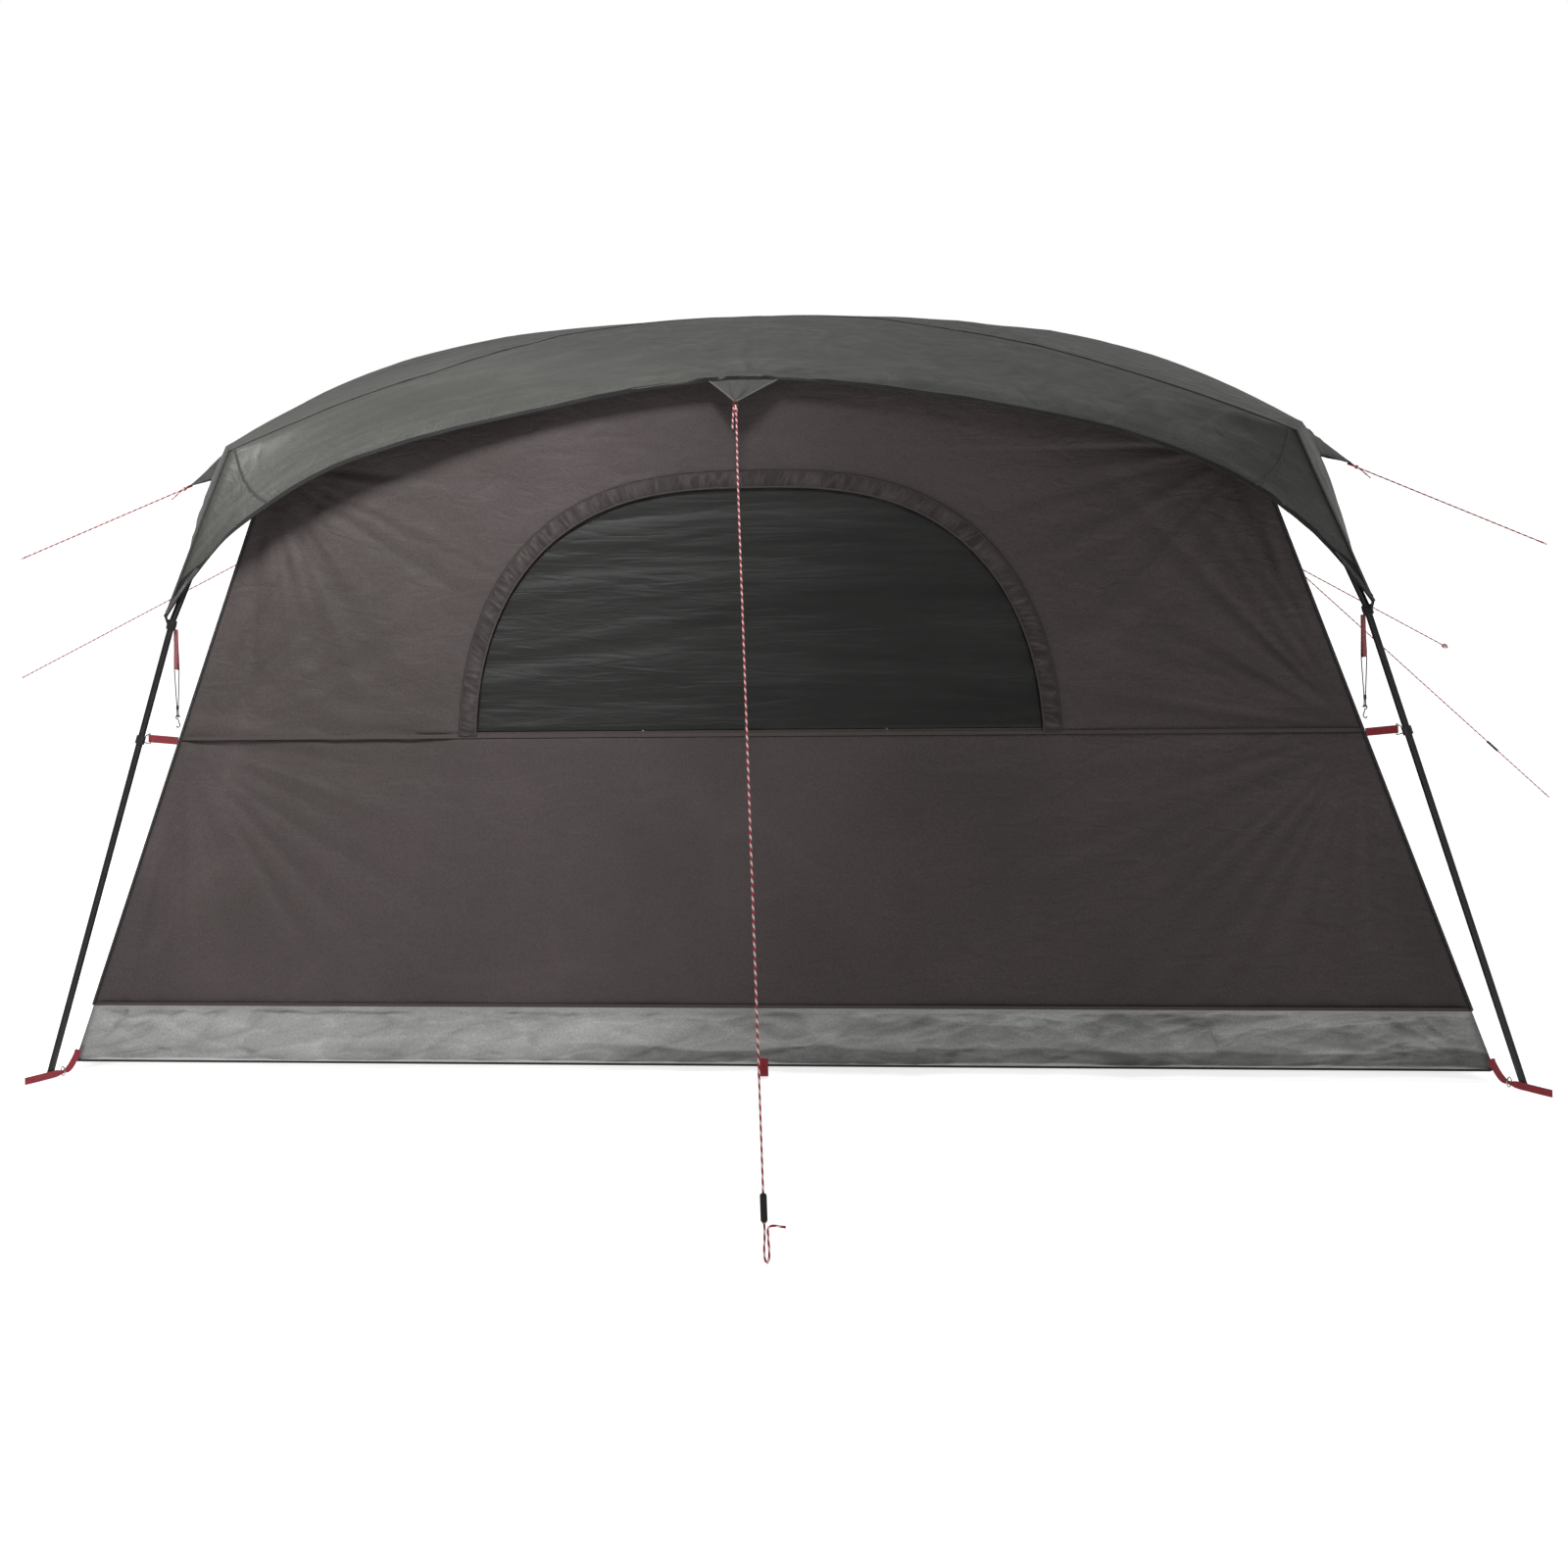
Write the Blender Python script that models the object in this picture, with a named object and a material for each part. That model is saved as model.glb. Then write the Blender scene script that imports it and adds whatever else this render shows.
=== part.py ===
"""Family tent on poles: square plan, two crossed poles, a brow pole, an inner tent and a fly sheet.

The origin is on the ground under the peak, +Z is up, -Y is the rear wall with the arched window and
+Y is the front with the door. Lengths are in metres.
"""
import math

import bmesh
import bpy
import numpy as np
from mathutils import Matrix, Vector

GAP = 0.0003

# Poles
FOOT = 2.185
LEG_RADIUS = 0.011
FOOT_LIFT = 0.0037
LEG_KNEE = (1.863, 1.365)
LEG_TOP = (1.688, 1.845)
ROOF_POLE_RADIUS = 0.0065
PEAK_HEIGHT = 2.364
TIE_OFFSET = 0.03

# Inner tent: every wall leans in by WALL_LEAN metres per metre of height
BASE_HALF = 2.133
WALL_LEAN = 0.288
CLOTH = 0.003
TRAY_HEIGHT = 0.192
SEAM_HEIGHT = 0.978
WALL_TOP_MIDDLE = 2.115
WALL_TOP_CORNER = 1.85
CEILING_PEAK = 2.25
CEILING_CORNER = 1.592
CEILING_BOW = 0.0702

# Rear window and front door
WINDOW_HALF = 0.89
WINDOW_RISE = 0.765
COVER_WIDTH = 0.055
DOOR_HALF = 0.62
DOOR_SILL = 0.23
DOOR_HEAD = 1.78

# Fly sheet
FLY_THICKNESS = 0.004
FLY_SHOULDER = 1.71
FLY_CORNER = 1.882
# Tabs: half width as a share of the side, then how far the tip stands along, out and down
REAR_TAB = (0.056, -0.046, 0.085, 0.075)
FRONT_TAB = (0.056, 0.0, 0.085, 0.075)
SIDE_TAB = (0.14, 0.0, 0.178, 0.105)

# Webbing, cords and fittings
WEBBING = 0.0016
STRAP_WIDTH = 0.024
GUY_RADIUS = 0.003
ELASTIC_RADIUS = 0.0014

CORNERS = {
    "rear_left": (-1, -1),
    "rear_right": (1, -1),
    "front_left": (-1, 1),
    "front_right": (1, 1),
}


def clear_scene():
    for item in list(bpy.data.objects):
        bpy.data.objects.remove(item, do_unlink=True)
    for group in list(bpy.data.collections):
        bpy.data.collections.remove(group)


def new_collection(name):
    group = bpy.data.collections.new(name)
    bpy.context.scene.collection.children.link(group)
    return group


clear_scene()
TENT = new_collection("tent_on_poles")
CUTTERS = new_collection("cutters")
CUTTERS.hide_render = True


def material(name, colour, roughness, metallic=0.0):
    made = bpy.data.materials.new(name)
    made.use_nodes = True
    shader = made.node_tree.nodes["Principled BSDF"]
    shader.inputs["Base Color"].default_value = (*colour, 1.0)
    shader.inputs["Roughness"].default_value = roughness
    shader.inputs["Metallic"].default_value = metallic
    made.diffuse_color = (*colour, 1.0)
    return made


POLE_BLACK = ("black coated steel tube", (0.012, 0.012, 0.013), 0.4, 0.0)
FIBREGLASS = ("dark fibreglass rod", (0.02, 0.02, 0.022), 0.35, 0.0)
PLASTIC = ("black moulded plastic", (0.015, 0.015, 0.016), 0.45, 0.0)
STEEL = ("nickel plated steel ring", (0.6, 0.6, 0.6), 0.25, 1.0)
RED_WEB = ("dark red webbing", (0.27, 0.022, 0.035), 0.8, 0.0)
BLACK_WEB = ("black webbing", (0.015, 0.015, 0.016), 0.85, 0.0)
BROWN = ("brown coated polyester", (0.09, 0.075, 0.07), 0.7, 0.0)
GREY_FLY = ("grey-green fly polyester", (0.09, 0.09, 0.08), 0.6, 0.0)
TRAY_GREY = ("light grey polyethylene", (0.27, 0.27, 0.26), 0.6, 0.0)
MESH_BLACK = ("dark window mesh", (0.03, 0.03, 0.03), 0.8, 0.0)
ROPE = ("red and white guy rope", (0.35, 0.06, 0.07), 0.85, 0.0)
ELASTIC = ("black elastic cord", (0.02, 0.02, 0.02), 0.8, 0.0)


def finish(name, mesh, finish_of, smooth=False):
    item = bpy.data.objects.new(name, mesh)
    TENT.objects.link(item)
    mesh.materials.append(material(name + "_" + finish_of[0].replace(" ", "_"), *finish_of[1:]))
    for face in mesh.polygons:
        face.use_smooth = smooth
    return item


def mesh_from(name, points, faces):
    """A mesh with its faces turned to point outwards."""
    mesh = bpy.data.meshes.new(name)
    mesh.from_pydata([tuple(map(float, point)) for point in points], [], faces)
    shell = bmesh.new()
    shell.from_mesh(mesh)
    bmesh.ops.recalc_face_normals(shell, faces=shell.faces)
    if shell.calc_volume(signed=True) < 0:
        bmesh.ops.reverse_faces(shell, faces=shell.faces)
    shell.to_mesh(mesh)
    shell.free()
    mesh.update()
    return mesh


def prism(name, outline, place, depth, finish_of):
    """A flat outline given a thickness. place(u, v, w) turns outline and depth into a point."""
    count = len(outline)
    points = [place(u, v, 0.0) for u, v in outline] + [place(u, v, depth) for u, v in outline]
    faces = [tuple(range(count)), tuple(range(2 * count - 1, count - 1, -1))]
    for i in range(count):
        j = (i + 1) % count
        faces.append((i, j, j + count, i + count))
    return finish(name, mesh_from(name, points, faces), finish_of)


def tube_mesh(name, route, radius, closed=False, resolution=2):
    curve = bpy.data.curves.new(name, "CURVE")
    curve.dimensions = "3D"
    curve.bevel_depth = radius
    curve.bevel_resolution = resolution
    curve.use_fill_caps = not closed
    spline = curve.splines.new("POLY")
    spline.points.add(len(route) - 1)
    for point, spot in zip(spline.points, route):
        point.co = (*map(float, spot), 1.0)
    spline.use_cyclic_u = closed
    item = bpy.data.objects.new(name + "_curve", curve)
    CUTTERS.objects.link(item)
    bpy.context.view_layer.update()
    mesh = bpy.data.meshes.new_from_object(item.evaluated_get(bpy.context.evaluated_depsgraph_get()))
    bpy.data.objects.remove(item, do_unlink=True)
    shell = bmesh.new()
    shell.from_mesh(mesh)
    bmesh.ops.remove_doubles(shell, verts=shell.verts, dist=0.00005)
    bmesh.ops.recalc_face_normals(shell, faces=shell.faces)
    if shell.calc_volume(signed=True) < 0:
        bmesh.ops.reverse_faces(shell, faces=shell.faces)
    shell.to_mesh(mesh)
    shell.free()
    mesh.name = name
    mesh.materials.clear()
    return mesh


def tube(name, route, radius, finish_of, closed=False, resolution=2):
    return finish(name, tube_mesh(name, route, radius, closed, resolution), finish_of, True)


def smooth_route(points, count):
    """A Catmull-Rom curve through hand-chosen points, sampled evenly in its own parameter."""
    spots = np.array(points, float)
    padded = np.vstack([2 * spots[0] - spots[1], spots, 2 * spots[-1] - spots[-2]])
    places = np.linspace(0, len(spots) - 1, count)
    which = np.minimum(places.astype(int), len(spots) - 2)
    t = (places - which)[:, None]
    a, b, c, d = (padded[which + k] for k in range(4))
    return 0.5 * (2 * b + (c - a) * t + (2 * a - 5 * b + 4 * c - d) * t**2 + (3 * b - a - 3 * c + d) * t**3)


def boolean(item, cutter_mesh, operation):
    cutter = bpy.data.objects.new(item.name + "_cutter", cutter_mesh)
    CUTTERS.objects.link(cutter)
    cutter.display_type = "WIRE"
    cutter.hide_render = True
    change = item.modifiers.new("cut", "BOOLEAN")
    change.operation = operation
    change.solver = "EXACT"
    change.object = cutter
    return cutter


def lathe_mesh(name, profile, base, axis, steps=20):
    """A closed ring-shaped profile of (radius, height) pairs turned about an axis."""
    turn = Vector((0, 0, 1)).rotation_difference(Vector(axis).normalized()).to_matrix()
    points = []
    for k in range(steps):
        angle = 2 * math.pi * k / steps
        for radius, height in profile:
            spot = Vector((radius * math.cos(angle), radius * math.sin(angle), height))
            points.append(Vector(base) + turn @ spot)
    size = len(profile)
    faces = []
    for k in range(steps):
        for i in range(size):
            j = (i + 1) % size
            nxt = (k + 1) % steps
            faces.append((k * size + i, k * size + j, nxt * size + j, nxt * size + i))
    return mesh_from(name, points, faces)


# ---------------------------------------------------------------- poles

def leg_reach(height):
    """Distance of the leg's centre from both middle planes at a height."""
    if height <= LEG_KNEE[1]:
        return FOOT + (LEG_KNEE[0] - FOOT) * height / LEG_KNEE[1]
    share = (height - LEG_KNEE[1]) / (LEG_TOP[1] - LEG_KNEE[1])
    return LEG_KNEE[0] + (LEG_TOP[0] - LEG_KNEE[0]) * (0.93 * share + 0.07 * share**2)


def leg_point(corner, height):
    sx, sy = CORNERS[corner]
    return Vector((sx * leg_reach(height), sy * leg_reach(height), height))


def ridge_height(reach):
    """Height of the fly over a roof pole, reach metres from both middle planes."""
    return PEAK_HEIGHT - 0.168 * reach**2 + 0.003 * reach**4


def brow_height(reach):
    """Height of the fly over the brow pole, reach metres from the middle."""
    return PEAK_HEIGHT - 0.0416 * reach**2 - 0.015 * reach**4


def build_poles():
    for corner, (sx, sy) in CORNERS.items():
        heights = [FOOT_LIFT, LEG_KNEE[1], 1.50, 1.64, 1.76, LEG_TOP[1]]
        route = [leg_point(corner, height) for height in heights]
        tube("leg_" + corner, route, LEG_RADIUS, POLE_BLACK)
        base = leg_point(corner, LEG_TOP[1])
        start = Vector((sx * 1.645, sy * 1.645, ridge_height(1.645) - 0.026))
        up = (route[-1] - route[-2]).normalized()
        into = (start - base - up * 0.02).normalized()
        elbow = [base + up * 2 * GAP, base + up * 0.02, start - into * 0.02]
        elbow.append(start)
        tube("shoulder_joint_" + corner, elbow, 0.0125, PLASTIC)
    reaches = np.linspace(-1, 1, 25) * 1.643
    for name, side, sink in (("roof_pole_lower", 1, 0.052), ("roof_pole_upper", -1, 0.036)):
        route = []
        for reach in reaches:
            near_middle = max(0.0, 1 - abs(reach) / 0.8)
            near_end = max(0.0, abs(reach) - 1.2) / 0.443
            drop = 0.02 + (sink - 0.02) * near_middle + 0.006 * near_end
            route.append((reach, side * reach, ridge_height(abs(reach)) - drop))
        tube(name, route, ROOF_POLE_RADIUS, FIBREGLASS)
    brow = [(x, 0.0, brow_height(abs(x)) - 0.0205 + 0.002 * abs(x) / 2.1) for x in np.linspace(-2.12, 2.12, 25)]
    tube("brow_pole", brow, ROOF_POLE_RADIUS, FIBREGLASS)
    tie = []
    for across, height in ((-0.011, CEILING_PEAK + 0.0115), (-0.011, 2.30), (-0.0095, 2.314), (0.0, 2.3235),
                           (0.0095, 2.314), (0.0105, 2.302)):
        tie.append((TIE_OFFSET + across * math.sqrt(0.5), TIE_OFFSET - across * math.sqrt(0.5), height))
    tube("crown_tie", smooth_route(tie, 14), 0.0018, BLACK_WEB)


# ---------------------------------------------------------------- inner tent

def wall_reach(height):
    return BASE_HALF - WALL_LEAN * height


def wall_top(across):
    return WALL_TOP_MIDDLE - (WALL_TOP_MIDDLE - WALL_TOP_CORNER) * (across / 1.6) ** 2


LEAN_LENGTH = math.hypot(1.0, WALL_LEAN)
WALL_NORMAL = (1.0 / LEAN_LENGTH, WALL_LEAN / LEAN_LENGTH)


def wall_place(side, start=0.0):
    """Point on a leaning wall: u across, v height, w depth inwards from the outer face."""
    def place(u, v, w):
        inward = start + w
        out = wall_reach(v) - inward * WALL_NORMAL[0]
        height = v - inward * WALL_NORMAL[1]
        return {
            "rear": (u, -out, height),
            "front": (u, out, height),
            "left": (-out, u, height),
            "right": (out, u, height),
        }[side]
    return place


def wall_outline(low, high, shrink=0.0, steps=12):
    """Outline of a wall between two heights, or up to the curved top when high is None."""
    outline = [(-wall_reach(low) + shrink, low), (wall_reach(low) - shrink, low)]
    if high is not None:
        outline += [(wall_reach(high) - shrink, high), (-wall_reach(high) + shrink, high)]
        return outline
    half = 1.6 - shrink
    for k in range(steps + 1):
        across = half - 2 * half * k / steps
        outline.append((across, wall_top(across)))
    return outline


def window_outline(grow=0.0, lift=0.0, steps=22):
    """The arched window: flat sill on the seam, a superellipse above."""
    sill = SEAM_HEIGHT + 0.004 + lift
    outline = []
    for k in range(steps + 1):
        angle = math.pi * k / steps
        cosine, sine = math.cos(angle), abs(math.sin(angle))
        across = math.copysign(abs(cosine) ** (2 / 2.8), cosine) * (WINDOW_HALF + grow)
        rise = sine ** (2 / 2.2) * (WINDOW_RISE + grow - lift)
        outline.append((across, sill + rise))
    return outline


def door_outline(shrink=0.0):
    half = DOOR_HALF - shrink
    straight = 1.25
    outline = [(-half, DOOR_SILL + shrink), (half, DOOR_SILL + shrink)]
    for k in range(13):
        angle = math.pi * k / 12
        outline.append((half * math.cos(angle), straight + (DOOR_HEAD - straight - shrink) * math.sin(angle)))
    return outline


def cutter_prism(name, outline, side):
    """A prism through a wall, used to cut its opening."""
    place = wall_place(side, -0.02)
    count = len(outline)
    points = [place(u, v, 0.0) for u, v in outline] + [place(u, v, 0.05) for u, v in outline]
    faces = [tuple(range(count)), tuple(range(2 * count - 1, count - 1, -1))]
    for i in range(count):
        j = (i + 1) % count
        faces.append((i, j, j + count, i + count))
    return mesh_from(name, points, faces)


def build_floor():
    low, high = BASE_HALF, wall_reach(TRAY_HEIGHT)
    rings = [(low, 0.0), (high, TRAY_HEIGHT), (high - CLOTH, TRAY_HEIGHT), (low - CLOTH, CLOTH)]
    points = []
    for half, height in rings:
        points += [(-half, -half, height), (half, -half, height), (half, half, height), (-half, half, height)]
    faces = [(3, 2, 1, 0), (12, 13, 14, 15)]
    for ring in range(3):
        for i in range(4):
            j = (i + 1) % 4
            faces.append((ring * 4 + i, ring * 4 + j, ring * 4 + 4 + j, ring * 4 + 4 + i))
    finish("floor_tray", mesh_from("floor_tray", points, faces), TRAY_GREY)


def build_walls():
    low = TRAY_HEIGHT + 0.0012
    prism("rear_wall_lower", wall_outline(low, SEAM_HEIGHT), wall_place("rear"), CLOTH, BROWN)
    upper = prism("rear_wall_upper", wall_outline(SEAM_HEIGHT + 0.0012, None), wall_place("rear"), CLOTH, BROWN)
    boolean(upper, cutter_prism("window_hole", window_outline(lift=0.012), "rear"), "DIFFERENCE")
    front = prism("front_wall", wall_outline(low, None), wall_place("front"), CLOTH, BROWN)
    boolean(front, cutter_prism("door_hole", door_outline(), "front"), "DIFFERENCE")
    for side in ("left", "right"):
        prism(side + "_wall", wall_outline(low, None, 0.0045), wall_place(side), CLOTH, BROWN)
    prism("window_mesh", window_outline(-0.002, 0.014), wall_place("rear", 0.0008), 0.0014, MESH_BLACK)
    prism("window_flap", window_outline(0.025, 0.016), wall_place("rear", 0.008), 0.002, BROWN)
    band = prism("window_zip_cover", window_outline(COVER_WIDTH), wall_place("rear", -0.0022), 0.0018, BROWN)
    boolean(band, cutter_prism("cover_hole", window_outline(-0.004, -0.05), "rear"), "DIFFERENCE")
    prism("door_panel", door_outline(0.004), wall_place("front"), 0.002, BROWN)


def build_ceiling():
    steps = 10
    spots = np.linspace(-1, 1, steps + 1)
    points = []
    for layer, sink in enumerate((0.004, 0.004 + CLOTH)):
        for t in spots:
            for s in spots:
                x = s * (CEILING_CORNER - CEILING_BOW * (1 - t * t))
                y = t * (CEILING_CORNER - CEILING_BOW * (1 - s * s))
                z = CEILING_PEAK - 0.15 * (s * s + t * t) - 0.10 * s * s * t * t
                points.append((x, y, z + 0.012 - sink))
    row = steps + 1
    size = row * row
    faces = []
    for t in range(steps):
        for s in range(steps):
            a = t * row + s
            quad = (a, a + 1, a + row + 1, a + row)
            faces.append(quad)
            faces.append(tuple(size + k for k in reversed(quad)))
    rim = [k for k in range(row)] + [k * row + steps for k in range(1, row)]
    rim += [steps * row + k for k in range(steps - 1, -1, -1)] + [k * row for k in range(steps - 1, 0, -1)]
    for i, a in enumerate(rim):
        b = rim[(i + 1) % len(rim)]
        faces.append((a, b, b + size, a + size))
    finish("ceiling", mesh_from("ceiling", points, faces), MESH_BLACK, True)


# ---------------------------------------------------------------- fly sheet

SIDE_STEPS = (0.0, 0.056, 0.14, 0.26, 0.42, 0.58, 0.72, 0.84, 0.93)


def fly_edges(side, s):
    """One fly side at s from -1 to 1: its shoulder line, the dome's two drop factors, its hem and how far
    the tab in its middle pulls the hem out and down."""
    size = abs(s)
    if side in ("rear", "front"):
        shoulder = (FLY_SHOULDER * s, 1.40 + (FLY_SHOULDER - 1.40) * size**3)
        dome = (0.203 + 0.288 * size**2, -0.026 * size**2)
        tab_half, tab_along, tab_out, tab_drop = REAR_TAB if side == "rear" else FRONT_TAB
        hem_z = 2.097 - 0.37 * size**1.5 - 0.352 * size**7
        hem = (FLY_CORNER * s, 1.60 + (FLY_CORNER - 1.60) * size**2, hem_z)
    else:
        shoulder = (FLY_SHOULDER * s, 2.05 - (2.05 - FLY_SHOULDER) * size**1.6)
        dome = (0.1748 + 0.3162 * size**1.3, 0.265 - 0.291 * size**1.3)
        tab_half, tab_along, tab_out, tab_drop = SIDE_TAB
        hem_z = 1.375 + 0.455 * (1 - size**1.1)
        hem = (FLY_CORNER * s, FLY_CORNER + 0.30 * (1 - size) ** 1.6, hem_z)
    pull = max(0.0, 1 - size / tab_half)
    return shoulder, dome, hem, (tab_along * pull, tab_out * pull, -tab_drop * pull)


def fly_turn(side, along, out, height):
    return {
        "rear": (along, -out, height),
        "right": (out, along, height),
        "front": (-along, out, height),
        "left": (-out, -along, height),
    }[side]


def fly_grid():
    """Rings of points from the peak to the shoulder line and on to the hem."""
    inner = (0.12, 0.26, 0.42, 0.58, 0.74, 0.88, 1.0)
    outer = (0.35, 0.68, 1.0)
    columns = []
    for side in ("rear", "right", "front", "left"):
        for s in [-k for k in reversed(SIDE_STEPS[1:])] + list(SIDE_STEPS):
            columns.append((side, s))
        columns.append((side, 1.0))
    rings = [[] for _ in range(len(inner) + len(outer))]
    for side, s in columns:
        shoulder, dome, hem, tab = fly_edges(side, s)
        for k, share in enumerate(inner):
            height = PEAK_HEIGHT - dome[0] * share**2 - dome[1] * share**4
            rings[k].append(fly_turn(side, shoulder[0] * share, shoulder[1] * share, height))
        edge = np.array([*shoulder, PEAK_HEIGHT - dome[0] - dome[1]])
        for k, share in enumerate(outer):
            spot = edge + (np.array(hem) - edge) * share + np.array(tab) * share**4
            bulge = 0.03 * math.sin(math.pi * share) * (1 - abs(s) ** 6)
            rings[len(inner) + k].append(fly_turn(side, spot[0], spot[1] + bulge, spot[2] + 0.4 * bulge))
    return np.array(rings)


def build_fly():
    rings = fly_grid()
    count = rings.shape[1]
    outer = np.vstack([[[0.0, 0.0, PEAK_HEIGHT]], rings.reshape(-1, 3)])
    faces = [(0, 1 + k, 1 + (k + 1) % count) for k in range(count)]
    for ring in range(len(rings) - 1):
        for k in range(count):
            a = 1 + ring * count + k
            b = 1 + ring * count + (k + 1) % count
            faces.append((a, a + count, b + count, b))
    skin = bpy.data.meshes.new("fly_skin")
    skin.from_pydata([tuple(map(float, p)) for p in outer], [], faces)
    skin.update()
    normals = np.array([tuple(v.normal) for v in skin.vertices])
    if normals[0][2] < 0:
        normals = -normals
    total = len(outer)
    points = np.vstack([outer, outer - normals * FLY_THICKNESS])
    closed = list(faces) + [tuple(total + k for k in reversed(face)) for face in faces]
    last = 1 + (len(rings) - 1) * count
    for k in range(count):
        a, b = last + k, last + (k + 1) % count
        closed.append((a, a + total, b + total, b))
    finish("fly_sheet", mesh_from("fly_sheet", points, closed), GREY_FLY, True)


# ---------------------------------------------------------------- corner fittings

def corner_place(corner, across=0.0):
    """Local axes at a corner: r outwards along the diagonal, z up, w sideways."""
    sx, sy = CORNERS[corner]
    out = Vector((sx, sy, 0)) / math.sqrt(2)
    side = Vector((-sy, sx, 0)) / math.sqrt(2) * (sx * sy)

    def place(r, z, w):
        return out * r + side * (across + w) + Vector((0, 0, z))
    return place


def build_base_corner(corner):
    root = math.sqrt(2)
    place = corner_place(corner, 0.0165)
    floor_edge = wall_reach(0.05) * root + 0.008
    ring_at = 3.052
    tail_end = FOOT * root + 0.085
    outline = [(floor_edge - 0.004, 0.062), (floor_edge - 0.004, 0.082), (ring_at - 0.012, 0.023)]
    outline += [(ring_at + 0.012, 0.0215), (tail_end, 0.0225), (tail_end, 0.0015), (ring_at + 0.012, 0.0045)]
    outline += [(ring_at - 0.012, 0.0045), (floor_edge + 0.012, 0.002), (floor_edge + 0.012, 0.022)]
    outline += [(ring_at - 0.016, 0.016)]
    prism("base_strap_" + corner, outline, place, WEBBING, RED_WEB)
    centre = place(ring_at, 0.0156, 0.0008)
    profile = [(0.0136 + 0.002 * math.cos(a), 0.002 * math.sin(a)) for a in np.linspace(0, 2 * math.pi, 7)[:-1]]
    mesh = lathe_mesh("ring", profile, centre, place(1, 0, 0) - place(0, 0, 0), 18)
    finish("corner_ring_" + corner, mesh, STEEL, True)


def build_mid_clip(corner):
    root = math.sqrt(2)
    height = 0.995
    centre = leg_point(corner, height)
    axis = leg_point(corner, height + 0.1) - leg_point(corner, height - 0.1)
    profile = [(LEG_RADIUS + GAP, -0.013), (0.0148, -0.013), (0.0148, 0.013), (LEG_RADIUS + GAP, 0.013)]
    clip = finish("mid_clip_" + corner, lathe_mesh("clip", profile, centre, axis), PLASTIC, False)
    place = corner_place(corner)
    start = centre.xy.length
    slope = (FOOT - LEG_KNEE[0]) / LEG_KNEE[1] * root
    frame = [(start - 0.0146 - 0.009 * slope, 0.009), (start - 0.034, 0.017), (start - 0.034, -0.017)]
    frame += [(start - 0.0146 + 0.009 * slope, -0.009)]
    points = [place(r, height + z, 0.0) for r, z in frame]
    boolean(clip, tube_mesh("clip_frame", points, 0.002), "UNION")
    bar = start - 0.034
    wall = wall_reach(height - 0.035) * root
    half = 0.0042
    hairpin = [(wall + 0.002, 0.0016), (bar - 0.012, 0.0018), (bar - 0.004, half), (bar + 0.002, half)]
    hairpin += [(bar + half, 0.0018), (bar + half, -0.0018), (bar + 0.002, -half), (bar - 0.004, -half)]
    hairpin += [(bar - 0.012, -0.0018), (wall + 0.002, -0.0016)]
    inner = [(bar - 0.008, -0.0013), (bar - 0.0035, -0.0027), (bar + 0.001, -0.0027), (bar + 0.0026, 0.0)]
    inner += [(bar + 0.001, 0.0027), (bar - 0.0035, 0.0027), (bar - 0.008, 0.0013)]

    def strap_place(r, w, rise):
        drop = 0.02 * (bar - r) / (bar - wall)
        return place(r, height - STRAP_WIDTH / 2 + rise - drop, w)
    strap = prism("mid_strap_" + corner, hairpin, strap_place, STRAP_WIDTH, RED_WEB)

    def hole_place(r, w, rise):
        return strap_place(r, w, rise * 3 - STRAP_WIDTH)
    count = len(inner)
    points = [hole_place(u, v, 0.0) for u, v in inner] + [hole_place(u, v, STRAP_WIDTH) for u, v in inner]
    faces = [tuple(range(count)), tuple(range(2 * count - 1, count - 1, -1))]
    faces += [(i, (i + 1) % count, (i + 1) % count + count, i + count) for i in range(count)]
    boolean(strap, mesh_from("strap_hole", points, faces), "DIFFERENCE")


def build_corner_webbing(corner):
    """Black webbing sleeve that ties the fly's corner to the leg."""
    low, high = leg_point(corner, 1.335), leg_point(corner, 1.364)
    length = (high - low).length
    profile = [(LEG_RADIUS + GAP, 0.0), (0.0150, 0.0), (0.0165, 0.5 * length), (0.0150, length)]
    profile += [(LEG_RADIUS + GAP, length)]
    finish("corner_webbing_" + corner, lathe_mesh("sleeve", profile, low, high - low), BLACK_WEB)


HANG_TOP, HANG_LOW = 1.328, 1.205
HANG_REACH = 1.866


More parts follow.
